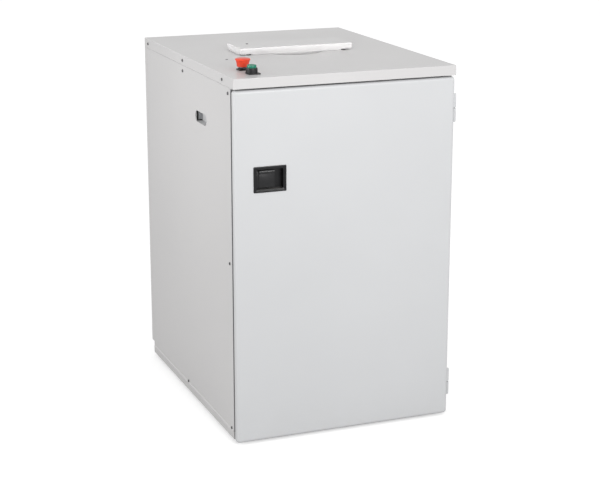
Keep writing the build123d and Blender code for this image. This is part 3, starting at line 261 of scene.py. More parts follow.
def new_group(name, **inputs):
    """Empty shader group with a vector, the named inputs, and the outputs Mask and Height."""
    group = bpy.data.node_groups.new(name, "ShaderNodeTree")
    group.interface.new_socket("Vector", in_out="INPUT", socket_type="NodeSocketVector")
    for label, value in inputs.items():
        kind = "NodeSocketVector" if isinstance(value, tuple) else "NodeSocketFloat"
        socket = group.interface.new_socket(label, in_out="INPUT", socket_type=kind)
        socket.default_value = value
    for label in ("Mask", "Height"):
        group.interface.new_socket(label, in_out="OUTPUT", socket_type="NodeSocketFloat")
    return group, group.nodes.new("NodeGroupInput").outputs, group.nodes.new("NodeGroupOutput").inputs


def closed(group, leave, mask, height):
    """The group with its two results joined to its outputs."""
    group.links.new(mask, leave["Mask"])
    group.links.new(height, leave["Height"])
    return group


def noise(tree, vector, scale, detail=2.0, roughness=0.5):
    """Noise texture on a vector; scale is a number, or a socket to read it from."""
    node = tree.nodes.new("ShaderNodeTexNoise")
    for label, value in (("Vector", vector), ("Scale", scale), ("Detail", detail), ("Roughness", roughness)):
        feed(tree, node.inputs[label], value)
    return node.outputs["Fac"]


def cells(tree, vector, scale, feature="F1"):
    """Distance from the heart of each cell of a cell texture."""
    node = tree.nodes.new("ShaderNodeTexVoronoi")
    node.feature = feature
    tree.links.new(vector, node.inputs["Vector"])
    tree.links.new(scale, node.inputs["Scale"])
    return node.outputs["Distance"]


def spread(tree, value, low=0.3, high=0.7, to_low=0.0, to_high=1.0):
    """Straight-line map of low..high to to_low..to_high, held at the ends; noise lies mostly in 0.3..0.7."""
    node = tree.nodes.new("ShaderNodeMapRange")
    tree.links.new(value, node.inputs["Value"])
    for label, number in (("From Min", low), ("From Max", high), ("To Min", to_low), ("To Max", to_high)):
        node.inputs[label].default_value = number
    return node.outputs["Result"]


def sums(tree, kind, first, second):
    """Math node of two values; the second is a socket or a number."""
    node = tree.nodes.new("ShaderNodeMath")
    node.operation = kind
    tree.links.new(first, node.inputs[0])
    feed(tree, node.inputs[1], second)
    return node.outputs["Value"]


def peel_group():
    """Powder coat: fine orange-peel ripples, and broad slow changes of tint with a few pale specks."""
    group, enter, leave = new_group("coat_peel", Scale=420.0)
    where = enter["Vector"]
    ripple = noise(group, where, enter["Scale"], 1.0, 0.4)
    broad = spread(group, noise(group, where, 2.4, 3.0, 0.6))
    speck = spread(group, noise(group, where, 900.0, 0.0), 0.62, 0.74)
    tint = sums(group, "ADD", broad, sums(group, "MULTIPLY", speck, 0.35))
    return closed(group, leave, tint, ripple)


def lines_group():
    """Drawn, ground or turned metal: noise stretched by a vector into fine lines, with cloudy patches."""
    group, enter, leave = new_group("drawn_lines", Scale=60.0, Stretch=(1.0, 1.0, 1.0))
    where = enter["Vector"]
    stretched = group.nodes.new("ShaderNodeVectorMath")
    stretched.operation = "MULTIPLY"
    group.links.new(where, stretched.inputs[0])
    group.links.new(enter["Stretch"], stretched.inputs[1])
    line = noise(group, stretched.outputs["Vector"], enter["Scale"], 3.0, 0.6)
    cloud = sums(group, "MULTIPLY", spread(group, noise(group, where, 14.0, 3.0, 0.6)), 0.4)
    mask = sums(group, "ADD", sums(group, "MULTIPLY", spread(group, line), 0.6), cloud)
    return closed(group, leave, mask, line)


def grain_group():
    """Moulded plastic or rubber: rounded cells of a fine spark grain over slow changes of shade."""
    group, enter, leave = new_group("moulded_grain", Scale=900.0)
    where = enter["Vector"]
    cell = cells(group, where, enter["Scale"], "SMOOTH_F1")
    shade = sums(group, "MULTIPLY", spread(group, noise(group, where, 25.0, 3.0, 0.6)), 0.7)
    mask = sums(group, "ADD", shade, sums(group, "MULTIPLY", cell, 0.4))
    return closed(group, leave, mask, cell)


def cast_group():
    """Sand-cast skin: many sizes of noise together, with dark pits."""
    group, enter, leave = new_group("cast_skin", Scale=180.0)
    where = enter["Vector"]
    skin = noise(group, where, enter["Scale"], 6.0, 0.68)
    pits = spread(group, noise(group, where, 520.0, 1.0), 0.60, 0.72)
    cloud = spread(group, noise(group, where, 9.0, 2.0))
    mask = sums(group, "MULTIPLY", sums(group, "ADD", spread(group, skin), cloud), 0.5)
    return closed(group, leave, mask, sums(group, "SUBTRACT", skin, sums(group, "MULTIPLY", pits, 0.4)))


def foam_group():
    """Open-cell foam: dark cell hearts inside paler cell walls; the darker hearts are painted shade in the
    pores.
    """
    group, enter, leave = new_group("open_cells", Scale=420.0)
    cell = cells(group, enter["Vector"], enter["Scale"])
    return closed(group, leave, spread(group, cell, 0.1, 0.7), cell)


def dust_and_light_group():
    """Dust colour broken up by noise: thick at the floor, gone at the reach, and on ledges that face up; it
    is settled dust on the inner parts, painted light on black plastic's upward faces, and only a darkening
    towards the floor on the coats.
    """
    group, enter, leave = new_group("settled_dust", Normal=(0.0, 0.0, 1.0), Reach=0.3, Amount=0.3, Ledge=0.0)
    rises = []
    for label in ("Vector", "Normal"):
        node = group.nodes.new("ShaderNodeSeparateXYZ")
        group.links.new(enter[label], node.inputs[0])
        rises.append(node.outputs["Z"])
    share = sums(group, "DIVIDE", rises[0], enter["Reach"])
    low = sums(group, "MULTIPLY", spread(group, share, 0.0, 1.0, 1.0, 0.0), enter["Amount"])
    ledge = sums(group, "MULTIPLY", spread(group, rises[1], 0.5, 0.95), enter["Ledge"])
    cloud = spread(group, noise(group, enter["Vector"], 11.0, 4.0, 0.62), 0.35, 0.65)
    mask = sums(group, "MULTIPLY", sums(group, "MAXIMUM", low, ledge), cloud)
    return closed(group, leave, mask, cloud)


EFFECTS = {
    "coat_peel": peel_group,
    "drawn_lines": lines_group,
    "moulded_grain": grain_group,
    "cast_skin": cast_group,
    "open_cells": foam_group,
    "settled_dust": dust_and_light_group,
}


class Look(NamedTuple):
    """Finish of one slot: an effect, what it changes, and gloss. Missing tints come from the settings."""

    effect: str
    scale: float
    rough: tuple
    bump: float
    depth: float
    dark: tuple = None
    pale: tuple = None
    stretch: tuple = None
    metallic: float = 0.0
    coat: float = 0.0
    gloss: float = 0.5


LOOKS = {
    "powder_coat": Look("coat_peel", 420, (0.30, 0.38), 0.10, 0.0004),
    "door_coat": Look("coat_peel", 420, (0.32, 0.40), 0.10, 0.0004),
    "frame_paint": Look(
        "coat_peel", 300, (0.42, 0.56), 0.18, 0.0004, (0.14, 0.145, 0.155), (0.19, 0.195, 0.205),
    ),
    "zinc_steel": Look(
        "drawn_lines", 90, (0.26, 0.44), 0.12, 0.0002, (0.46, 0.46, 0.45), (0.66, 0.66, 0.64),
        stretch=(1.0, 6.0, 1.0), metallic=1.0,
    ),
    "chute_steel": Look(
        "drawn_lines", 70, (0.30, 0.50), 0.12, 0.0002, (0.34, 0.35, 0.36), (0.54, 0.55, 0.56),
        stretch=(9.0, 9.0, 0.5), metallic=1.0,
    ),
    "mill_iron": Look(
        "cast_skin", 160, (0.40, 0.62), 0.35, 0.0006, (0.045, 0.055, 0.065), (0.10, 0.115, 0.13),
        metallic=0.2,
    ),
    "tool_steel": Look(
        "drawn_lines", 120, (0.16, 0.30), 0.10, 0.0001, (0.50, 0.51, 0.52), (0.74, 0.75, 0.76),
        stretch=(0.6, 14.0, 14.0), metallic=1.0,
    ),
    "rotor_steel": Look(
        "drawn_lines", 110, (0.28, 0.46), 0.14, 0.0002, (0.28, 0.29, 0.30), (0.44, 0.45, 0.46),
        stretch=(14.0, 0.8, 0.8), metallic=1.0,
    ),
    "screen_steel": Look(
        "drawn_lines", 80, (0.34, 0.52), 0.14, 0.0002, (0.30, 0.30, 0.31), (0.46, 0.46, 0.47),
        stretch=(0.8, 8.0, 8.0), metallic=1.0,
    ),
    "pulley_iron": Look(
        "drawn_lines", 120, (0.38, 0.54), 0.20, 0.0003, (0.06, 0.063, 0.067), (0.11, 0.113, 0.118),
        stretch=(12.0, 1.0, 1.0), metallic=0.6,
    ),
    "motor_iron": Look(
        "cast_skin", 220, (0.34, 0.50), 0.30, 0.0005, (0.035, 0.055, 0.085), (0.055, 0.082, 0.12),
        coat=0.15,
    ),
    "motor_trim": Look(
        "coat_peel", 320, (0.34, 0.48), 0.16, 0.0004, (0.045, 0.066, 0.10), (0.065, 0.092, 0.13),
        coat=0.1,
    ),
    "rubber": Look(
        "moulded_grain", 700, (0.62, 0.82), 0.20, 0.0003, (0.012, 0.012, 0.012), (0.026, 0.026, 0.026),
        gloss=0.2,
    ),
    "seal_rubber": Look(
        "moulded_grain", 500, (0.66, 0.86), 0.25, 0.0003, (0.016, 0.016, 0.017), (0.032, 0.032, 0.033),
        gloss=0.2,
    ),
    "liner_foam": Look(
        "open_cells", 420, (0.86, 0.98), 0.60, 0.0010, (0.018, 0.018, 0.020), (0.055, 0.055, 0.060),
        gloss=0.1,
    ),
    "black_plastic": Look(
        "moulded_grain", 1100, (0.26, 0.40), 0.18, 0.0002, (0.008, 0.008, 0.009), (0.014, 0.014, 0.015),
        gloss=0.28,
    ),
    "latch_cast": Look(
        "coat_peel", 700, (0.20, 0.28), 0.20, 0.0003, (0.011, 0.011, 0.012), (0.018, 0.018, 0.019),
        gloss=0.36,
    ),
    "red_plastic": Look("moulded_grain", 1400, (0.26, 0.36), 0.05, 0.0001, coat=0.1, gloss=0.3),
    "green_plastic": Look("moulded_grain", 1400, (0.22, 0.34), 0.05, 0.0001, coat=0.1),
    "steel_pin": Look(
        "drawn_lines", 150, (0.34, 0.48), 0.10, 0.0001, (0.09, 0.09, 0.093), (0.15, 0.15, 0.155),
        stretch=(1.0, 1.0, 12.0), metallic=0.7,
    ),
    "bin_plastic": Look(
        "moulded_grain", 650, (0.46, 0.64), 0.24, 0.0004, (0.014, 0.018, 0.024), (0.026, 0.032, 0.042),
    ),
    "box_grey": Look(
        "moulded_grain", 800, (0.44, 0.58), 0.14, 0.0003, (0.50, 0.505, 0.51), (0.57, 0.575, 0.58),
    ),
}
# slot: height in metres where the floor's dust colour ends, its amount at the floor, and its amount on
# ledges; settled dust on the inner parts, painted light on black plastic's upward faces, a darkening towards
# the floor on the coats
DUST_AND_PAINTED_LIGHT = {
    # the two coats only turn darker towards the floor
    "powder_coat": (0.045, 0.34, 0.0),
    "door_coat": (0.12, 0.08, 0.0),
    "frame_paint": (0.60, 0.30, 0.35),
    "motor_iron": (0.42, 0.40, 0.55),
    "motor_trim": (0.42, 0.40, 0.55),
    "bin_plastic": (0.46, 0.25, 0.30),
    "rubber": (0.03, 0.60, 0.20),
    "mill_iron": (0.80, 0.15, 0.40),
    # black plastic: no floor dust; its ledge amount is a painted highlight that lightens the upward faces,
    # such as inside the latch cup
    "black_plastic": (0.01, 0.0, 0.22),
}
DUST_AND_LIGHT_ROUGHNESS = 0.3
COAT_ROUGHNESS = 0.15
# Places of the two colours and the result among a mix node's sockets
MIX_FIRST, MIX_SECOND, MIX_RESULT = 6, 7, 2


def tints(slot):
    """Dark and pale tint of a slot, from the settings where the user may change them."""
    coat = bpy.context.scene.disintegrator_coat
    controls = bpy.context.scene.disintegrator_controls
    base = {
        "powder_coat": coat.cabinet_colour,
        "door_coat": coat.door_colour,
        "red_plastic": controls.stop_colour,
        "green_plastic": controls.start_colour,
    }.get(slot)
    if base is None:
        return LOOKS[slot].dark, LOOKS[slot].pale
    swing = coat.tint_swing
    return tuple(c * (1 - swing) for c in base), tuple(min(1.0, c * (1 + swing)) for c in base)


def mixed(tree, factor, first, second):
    """Colour mix by a factor socket; each colour is a tuple or a socket."""
    node = tree.nodes.new("ShaderNodeMix")
    node.data_type = "RGBA"
    tree.links.new(factor, node.inputs[0])
    for place, colour in ((MIX_FIRST, first), (MIX_SECOND, second)):
        feed(tree, node.inputs[place], (*colour, 1.0) if isinstance(colour, tuple) else colour)
    return node.outputs[MIX_RESULT]


def use_group(tree, name, vector, **values):
    """Places a shared effect in a material with its own values."""
    node = tree.nodes.new("ShaderNodeGroup")
    node.node_tree = bpy.data.node_groups.get(name) or EFFECTS[name]()
    tree.links.new(vector, node.inputs["Vector"])
    for label, value in values.items():
        feed(tree, node.inputs[label], value)
    return node


def finish(slot):
    """Material of a record slot: its effect mixes two tints and roughnesses and lifts a bump, under a dust
    colour that is settled dust on some slots and painted light on black plastic's upward faces.
    """
    name = f"finish_{slot}"
    if name in bpy.data.materials:
        return bpy.data.materials[name]
    look = LOOKS[slot]
    material = bpy.data.materials.new(name)
    material.use_nodes = True
    tree = material.node_tree
    tree.nodes.clear()
    shader = tree.nodes.new("ShaderNodeBsdfPrincipled")
    output = tree.nodes.new("ShaderNodeOutputMaterial")
    where = tree.nodes.new("ShaderNodeTexCoord").outputs
    values = {"Scale": look.scale}
    if look.stretch:
        values["Stretch"] = look.stretch
    worn = use_group(tree, look.effect, where["Object"], **values).outputs
    colour = mixed(tree, worn["Mask"], *tints(slot))
    roughness = spread(tree, worn["Mask"], 0.0, 1.0, *look.rough)
    # dust colour: settled dust on the inner parts, painted light on black plastic's upward faces, a darkening
    # towards the floor on the coats
    if slot in DUST_AND_PAINTED_LIGHT:
        values = dict(zip(("Reach", "Amount", "Ledge"), DUST_AND_PAINTED_LIGHT[slot]), Normal=where["Normal"])
        dust = use_group(tree, "settled_dust", where["Object"], **values).outputs["Mask"]
        colour = mixed(tree, dust, colour, tuple(bpy.context.scene.disintegrator_coat.dust_and_light_colour))
        roughness = sums(tree, "ADD", roughness, sums(tree, "MULTIPLY", dust, DUST_AND_LIGHT_ROUGHNESS))
    bump = tree.nodes.new("ShaderNodeBump")
    for label, value in (("Strength", look.bump), ("Distance", look.depth), ("Height", worn["Height"])):
        feed(tree, bump.inputs[label], value)
    settings = {
        "Base Color": colour,
        "Roughness": roughness,
        "Normal": bump.outputs["Normal"],
        "Metallic": look.metallic,
        "Coat Weight": look.coat,
        "Coat Roughness": COAT_ROUGHNESS,
        "Specular IOR Level": look.gloss,
    }
    for label, value in settings.items():
        feed(tree, shader.inputs[label], value)
    tree.links.new(shader.outputs["BSDF"], output.inputs["Surface"])
    return material


# settings


def colour_setting(name, description, default):
    """Colour that the user may change."""
    return FloatVectorProperty(
        name=name, description=description, subtype="COLOR", size=3, min=0.0, max=1.0, default=default,
    )


def length_setting(name, description, low, high, default):
    """Length in metres that the user may change."""
    return FloatProperty(
        name=name, description=description, unit="LENGTH", min=low, max=high, default=default,
    )


def share_setting(name, description, high, default):
    """Share of one that the user may change."""
    return FloatProperty(
        name=name, description=description, subtype="FACTOR", min=0.0, max=high, default=default,
    )


def power_setting(name, description, high, default):
    """Lamp power in watts that the user may change."""
    return FloatProperty(
        name=name, description=description, unit="POWER", min=0.0, max=high, default=default,
    )


def angle_setting(name, description, degrees):
    """Angle that the user may change."""
    return FloatProperty(name=name, description=description, unit="ROTATION", default=math.radians(degrees))


class CoatSettings(PropertyGroup):
    """Paint of the cabinet, whose warm and cool tints also hold painted light, and what lies on it."""

    # The cabinet's warm tint and the door's cool tint are painted light, warm light on the side panels and
    # bluish light on the front, over a pale grey coat on both
    cabinet_colour: colour_setting("Cabinet", "Coat of cover, sides, rear and lid", (0.564, 0.556, 0.555))
    door_colour: colour_setting("Door", "Powder coat of the door", (0.556, 0.562, 0.571))
    # the dust colour also paints light on the upward faces of black plastic
    dust_and_light_colour: colour_setting("Dust", "Dust that settles near the floor", (0.40, 0.385, 0.36))
    tint_swing: share_setting("Tint swing", "How far the coat's tint changes over a panel", 0.2, 0.012)


class ControlSettings(PropertyGroup):
    """Push-buttons and the flush latch."""

    stop_colour: colour_setting("Stop head", "Colour of the mushroom head", (0.62, 0.050, 0.020))
    start_colour: colour_setting("Start cap", "Colour of the start button's cap", (0.002, 0.165, 0.098))
    knurl_count: IntProperty(
        name="Knurls", description="Ridges round the start button's collar", min=12, max=60, default=32,
    )
    plate_radius: length_setting("Plate corner", "Corner radius of the buttons' plates", 0.0005, 0.008, 0.002)
    bezel_slope: length_setting("Bezel slope", "Width of the bezel's sloped inner edge", 0.001, 0.004, 0.003)


class TrimSettings(PropertyGroup):
    """Screws, foam and bin."""

    screw_radius: length_setting("Screw head", "Radius of a panel screw's head", 0.002, 0.008, 0.0042)
    screw_height: length_setting("Screw height", "Height of a panel screw's head", 0.001, 0.004, 0.0022)
    foam_pitch: length_setting("Foam pitch", "Distance between two peaks of the foam", 0.015, 0.08, 0.034)
    foam_dip: share_setting("Foam dip", "Share of the foam's thickness that its valleys lose", 0.8, 0.55)
    bin_rib: length_setting("Bin rib", "How far the bin's stiffening ribs stand out", 0.0, 0.004, 0.002)


class StageSettings(PropertyGroup):
    """Camera, light and floor."""

    camera_place: FloatVectorProperty(
        name="Camera", description="Where the camera stands", subtype="TRANSLATION", unit="LENGTH",
        size=3, default=(-1.5396, -3.9950, 1.5997),
    )
    camera_tilt: angle_setting("Tilt", "How far the camera looks down", 15.322)
    camera_heading: angle_setting("Heading", "How far the camera turns to the right", 21.385)
    lens: FloatProperty(
        name="Lens", description="Focal length on the sensor", unit="CAMERA",
        min=10.0, max=300.0, default=94.125,
    )
    sky: FloatProperty(
        name="Sky", description="Strength of the even white light", min=0.0, max=3.0, default=0.85,
    )
    front_lamp: power_setting("Front lamp", "Power of the soft lamp before the door", 200.0, 12.5)
    side_lamp: power_setting("Side lamp", "Power of the soft lamp beside the left panel", 200.0, 5.3)
    strip_lamp: power_setting("Strip lamp", "Power of the narrow strip before the feed lid", 20.0, 0.50)
    floor_glow: FloatProperty(
        name="Floor glow", description="Light added to the floor that the camera sees",
        min=0.0, max=2.0, default=0.5,
    )
    floor_colour: colour_setting("Floor", "Colour of the studio floor", (0.62, 0.62, 0.62))


# pieces


class DISINTEGRATOR_OT_finishes(Operator):
    """Give every solid the finish of its record slot"""

    bl_idname = "disintegrator.finishes"
    bl_label = "Finishes"

    def execute(self, context):
        for node, solid in frame["nodes"].items():
            solid.data.materials.clear()
            solid.data.materials.append(finish(SLOT_OF[node]))
        return {"FINISHED"}


class DISINTEGRATOR_OT_screws(Operator):
    """Domed screws on the sides, the rear panel, the lid, its hinges and the cover"""

    bl_idname = "disintegrator.screws"
    bl_label = "Screws"

    def execute(self, context):
        trim = context.scene.disintegrator_trim
        head = {"radius": trim.screw_radius / MM, "height": trim.screw_height / MM}
        low, high = corners("panel_screws")
        cabin_low, cabin_high = corners("top_cover")
        cover_front, front, middle, rear = -308.0, low[1] + 3.5, 23.5, high[1] - 3.5
        foot, waist, flange = low[2] + 4.0, 484.5, high[2] - 4.0
        shoulder = flange - 28
        rows = [(cover_front, flange), (middle, flange), (rear, flange), (middle, shoulder), (middle, foot)]
        rows += [(front, foot), (front, waist), (front, shoulder)]
        shapes = [pan_head("left", (cabin_low[0], y, z), **head) for y, z in rows]
        shapes += [pan_head("right", (cabin_high[0], y, z), **head) for y, z in rows]
        piece("side_screws", shapes, "cabinet", "steel_pin", ("panel_screws",))
        columns, heights = (-291.0, 291.0), (70.0, 340.0, 630.0, 910.0)
        shapes = [pan_head("rear", (x, cabin_high[1], z), **head) for x in columns for z in heights]
        piece("rear_screws", shapes, "cabinet", "steel_pin")
        lid_top = corners("feed_lid")[1][2]
        piece("lid_screw", [pan_head("top", (-117.0, 36.0, lid_top), 3.6, 1.4)], "feed_lid", "steel_pin")
        leaf_low, leaf_high = corners("lid_hinge_leaves")
        y, z = leaf_high[1] - 8.0, leaf_low[2] + 2.0
        spots = [(hinge + dx, y, z) for hinge in (-105.0, 105.0) for dx in (-16.0, 0.0, 16.0)]
        piece("hinge_screws", [pan_head("top", spot, 3.0, 1.3) for spot in spots], "cabinet", "zinc_steel")
        shapes = [pan_head("top", (-218.0, -90.0, cabin_high[2]), 3.6, 1.0)]
        piece("cover_screw", shapes, "cabinet", "steel_pin")
        return {"FINISHED"}


class DISINTEGRATOR_OT_grip_shade_pads(Operator):
    """Rubber pads with steel plates on the rear end wall of both side grips, as painted shade: the grey plate
    stands in for the shaded end wall, and the dark strip of pad beside it for the shadow at the wall's outer
    edge
    """

    bl_idname = "disintegrator.grip_pads"
    bl_label = "Grip Pads"

    def execute(self, context):
        rim, wall, plate_share, plate_margin = 8.0, 2.0, 0.74, 2.3
        pads, plates = [], []
        for cup, inward in (("left_grip_cup", 1), ("right_grip_cup", -1)):
            low, high = corners(cup)
            x, _, z = (low + high) / 2
            end = high[1] - rim
            deep, tall = high[0] - low[0] - 2 * wall, high[2] - low[2] - 2 * rim - 1
            sections = [(deep, tall, 2.0, 0.0), (deep, tall, 2.0, 0.9), (deep - 1.2, tall - 1.2, 1.4, 1.3)]
            pads.append(sleeve(sections, "front", (x, end, z), 4))
            wide, tall = deep * plate_share, tall - 2 * plate_margin
            sections = [(wide, tall, 1.4, 1.0), (wide, tall, 1.4, 1.8), (wide - 0.8, tall - 0.8, 1.0, 2.1)]
            plates.append(sleeve(sections, "front", (x + inward * (deep - wide) / 2, end, z), 4))
        # painted shade: the dark pads and grey plates stand in for the shade on each grip's rear end wall
        piece("grip_end_pads", pads, "cabinet", "rubber")
        piece("grip_end_plates", plates, "cabinet", "chute_steel")
        return {"FINISHED"}


class DISINTEGRATOR_OT_panel_hems(Operator):
    """Folded hems along the lower edge of both side panels, over the base band"""

    bl_idname = "disintegrator.panel_hems"
    bl_label = "Panel Hems"

    def execute(self, context):
        hem = np.array(((-0.5, 0.0), (1.6, 0.2), (2.0, 0.7), (1.8, 1.3), (-0.2, 4.0), (-0.5, 4.0)))
        shapes = []
        for node, out in (("left_side_panel", -1), ("right_side_panel", 1)):
            low, high = corners(node)
            x = low[0] if out < 0 else high[0]
            start, end = (x, low[1] + 4, low[2]), (x, high[1] - 4, low[2])
            shapes.append(bar(hem, start, end, (out, 0, 0), UP))
        piece("side_panel_hems", shapes, "cabinet", "powder_coat")
        return {"FINISHED"}


class DISINTEGRATOR_OT_lid_lips(Operator):
    """Folded lips that close the gap under the feed lid's front and ends"""

    bl_idname = "disintegrator.lid_lips"
    bl_label = "Lid Lips"

    def execute(self, context):
        low, high = corners("feed_lid")
        pad_low, pad_high = corners("lid_bumpers")
        bottom, top = pad_low[2] + 0.25, low[2] + 0.5
        rise = (bottom + top) / 2
        loop = rounded_loop(1.6, top - bottom, 0.5, 3)
        front = (pad_low[1] + pad_high[1]) / 2
        bumper, end_start, end_stop = 14, front + 12, front + 86
        left, right = pad_low[0] + bumper, pad_high[0] - bumper
        shapes = [bar(loop, (left, front, rise), (right, front, rise), BACK, UP)]
        for x in (low[0] + 1.0, high[0] - 1.0):
            shapes.append(bar(loop, (x, end_start, rise), (x, end_stop, rise), RIGHT, UP))
        piece("lid_lips", shapes, "feed_lid", "powder_coat")
        return {"FINISHED"}


class DISINTEGRATOR_OT_stop_button(Operator):
    """Mushroom head with an overhanging lip, on a square plate and a threaded barrel"""

    bl_idname = "disintegrator.stop_button"
    bl_label = "Stop Button"

    def execute(self, context):
        corner = context.scene.disintegrator_controls.plate_radius / MM
        low, high = corners("estop_head")
        x, y, _ = (low + high) / 2
        base_low, base_high = corners("estop_base")
        spot = (x, y, base_high[2] - 3)
        bore = 9.1
        shapes = button_base(27, corner, spot, base_low[2], bore)
        collar = [(bore, 3.0), (12.8, 3.0), (12.8, 5.2), (12.2, 5.8), (bore, 5.8)]
        shapes.insert(1, turned(collar, "top", spot, 48, ring=True))
        piece("stop_plate", shapes, "cabinet", "black_plastic", ("estop_base",))
        profile = (
            *((bore, 4.2), (13.5, 4.2), (13.8, 0.3), (14.6, 0.0), (15.2, 0.5), (15.4, 1.4)),
            *((15.7, 5.0), (16.3, 9.0), (17.2, 12.5), (18.4, 15.4), (19.6, 17.2), (20.0, 18.2), (19.9, 19.0)),
            *((19.3, 19.8), (17.6, 20.5), (14.0, 21.2), (9.0, 21.75), (4.0, 21.95), (0.0, 22.0)),
        )
        head = turned(profile, "top", (x, y, low[2]), 64)
        piece("stop_head", [head], "estop_head", "red_plastic", ("estop_head",), 50)
        return {"FINISHED"}


class DISINTEGRATOR_OT_start_button(Operator):
    """Rimmed cap in a knurled collar, on a square plate and a threaded barrel"""

    bl_idname = "disintegrator.start_button"
    bl_label = "Start Button"

    def execute(self, context):
        controls = context.scene.disintegrator_controls
        knurl = -controls.knurl_count
        low, high = corners("start_cap")
        x, y, _ = (low + high) / 2
        base_low, base_high = corners("start_bezel")
        spot = (x, y, base_high[2] - 16)
        shapes = button_base(32, controls.plate_radius / MM, spot, base_low[2], shift=3)
        collar = (
            *((12.4, 3.0), (14.4, 3.0), (14.7, 3.6), (15.0, 4.4, knurl), (15.0, 12.6, knurl), (14.6, 13.4)),
            *((14.5, 14.6), (14.1, 15.6), (13.2, 16.0), (12.5, 15.5), (12.4, 14.6)),
        )
        shapes.insert(1, turned(collar, "top", spot, 4 * controls.knurl_count, ring=True))
        piece("start_collar", shapes, "cabinet", "black_plastic", ("start_bezel",))
        profile = (
            *((11.6, 0.0), (12.0, 0.5), (12.0, 13.4), (11.8, 14.3), (11.2, 14.9), (10.5, 15.0)),
            *((9.9, 14.6), (9.5, 13.9), (9.0, 13.6), (4.0, 13.9), (0.0, 14.0)),
        )
        cap = turned(profile, "top", (x, y, low[2]), 64)
        piece("start_cap_top", [cap], "start_cap", "green_plastic", ("start_cap",), 50)
        return {"FINISHED"}


class DISINTEGRATOR_OT_latch(Operator):
    """Flush latch: bezel with a sloped inner edge over a deep cup, and a paddle with a rolled top edge"""

    bl_idname = "disintegrator.latch"
    bl_label = "Flush Latch"

    def execute(self, context):
        slope = context.scene.disintegrator_controls.bezel_slope / MM
        low, high = corners("latch_cup")
        x, _, z = (low + high) / 2
        wide, _, tall = high - low
        front = low[1] + 2
        inner_wide, inner_tall = wide - 14, tall - 13
        lip_wide, lip_tall = wide - 17, tall - 16
        cup = (
            (inner_wide + 4, inner_tall + 4, 1.2, -16),
            (inner_wide + 4, inner_tall + 4, 1.2, 0),
            (wide - 0.6, tall - 0.6, 2.4, 0),
            (wide, tall, 2.4, 0.4),
            (wide, tall, 2.4, 1.2),
            (wide - 0.8, tall - 0.8, 2.2, 1.75),
            (wide - 2.2, tall - 2.2, 1.9, 2.0),
            (lip_wide + 2 * slope + 0.6, lip_tall + 2 * slope + 0.6, 1.8, 2.0),
            (lip_wide + 2 * slope, lip_tall + 2 * slope, 1.8, 1.8),
            (lip_wide + 0.4, lip_tall + 0.4, 1.6, 0.8),
            (lip_wide, lip_tall, 1.5, -0.4),
            (inner_wide, inner_tall, 1.5, -0.42),
            (inner_wide - 0.6, inner_tall - 0.6, 1.5, -13.0),
            (inner_wide - 2.4, inner_tall - 2.4, 1.2, -14.0),
        )
        shapes = [sleeve(cup, "front", (x, front, z))]
        rib_wide = inner_wide + 4
        rib = [(rib_wide, 4, 0.6, -15.8), (rib_wide, 4, 0.6, -24.4), (rib_wide - 1.2, 2.8, 0.5, -25)]
        shapes += [sleeve(rib, "front", (x, front, z + up), 3) for up in (-11.8, 11.8)]
        piece("latch_bezel", shapes, "door", "black_plastic", ("latch_cup",))

        low, high = corners("latch_paddle")
        peg = inner_tall + 4
        paddle_tall = inner_tall - 10
        pin, left, right = low[0] + 3, low[0] + 7, high[0]
        mid, wide = (left + right) / 2, right - left
        plate = (
            (wide - 0.6, paddle_tall - 0.6, 1.0, -5.0),
            (wide, paddle_tall, 1.4, -4.4),
            (wide, paddle_tall, 1.6, -1.9),
            (wide - 0.9, paddle_tall - 0.9, 1.6, -0.9),
            (wide - 2.4, paddle_tall - 2.4, 1.4, -0.6),
        )
        shapes = [sleeve(plate, "front", (mid, front, z + 1))]
        web = rounded_loop(8.0, 3.4, 0.4, 2)
        depth = front + 3.5
        shapes.append(bar(web, (pin + 4, depth, z - 20), (pin + 4, depth, z + 20), RIGHT, BACK))
        turn = np.linspace(0, FULL, 20, endpoint=False)
        roll = np.column_stack((5.0 * np.cos(turn), 2.6 * np.sin(turn)))
        roll_y, top = front + 1.1, z + paddle_tall / 2 - 3.6
        shapes.append(bar(roll, (left + 1.6, roll_y, top), (right - 1.2, roll_y, top), UP, FRONT))
        end = inner_tall / 2 - 3
        pivot = [(1.5, -peg / 2), (1.5, -end), (1.9, -end), (2.1, 0.3 - end)]
        pivot += [(radius, -height) for radius, height in pivot[::-1]]
        shapes.append(turned(pivot, "top", (pin, depth, z), 24))
        piece("latch_handle", shapes, "latch_paddle", "latch_cast", ("latch_paddle",))
        return {"FINISHED"}


class DISINTEGRATOR_OT_door_hinges(Operator):
    """Lift-off hinges: barrels with domed ends, the leaves that carry them, and pins"""

    bl_idname = "disintegrator.door_hinges"
    bl_label = "Door Hinges"

    def execute(self, context):
        halves = (
            ("hinge_frame_leaves", "hinge_frame_barrels", "cabinet", 1),
            ("hinge_door_leaves", "hinge_door_barrels", "door", -1),
        )
        barrel = [(2.5, 1.0), (4.6, 1.0), (5.0, 1.5), (5.0, 35.0)]
        barrel += [(4.8, 35.8), (4.0, 36.6), (2.2, 37.0), (0, 37.0)]
        core = ((2.45, -2.0), (2.45, 35.0), (1.6, 36.4), (0, 36.6))
        leaf = ((34.6, 36.6, 2.0, -1.0), (35, 37, 2.0, -0.7), (35, 37, 2.0, 0.7), (34.6, 36.6, 2.0, 1.0))
        heights = (91.0, 850.0)
        for node, name, body, end in halves:
            low, high = corners(node)
            x, y = high[0] - 5, (low[1] + high[1]) / 2
            leaf_y = high[1] - 1 if end > 0 else low[1] + 1
            shapes, pins = [], []
            for join in (height - 0.5 * end for height in heights):
                shapes.append(turned(barrel, "under" if end > 0 else "top", (x, y, join), 32))
                if end > 0:
                    pins.append(turned(core, "top", (x, y, join), 24))
                shapes.append(sleeve(leaf, "front", (x - 17.5, leaf_y, join - 18.5 * end)))
            piece(name, shapes, body, "door_coat", (node,))
            if pins:
                # the pins are dark steel, and their dark tone also paints the shade in the gap between the
                # knuckles
                piece("hinge_pins", pins, body, "steel_pin")
        return {"FINISHED"}


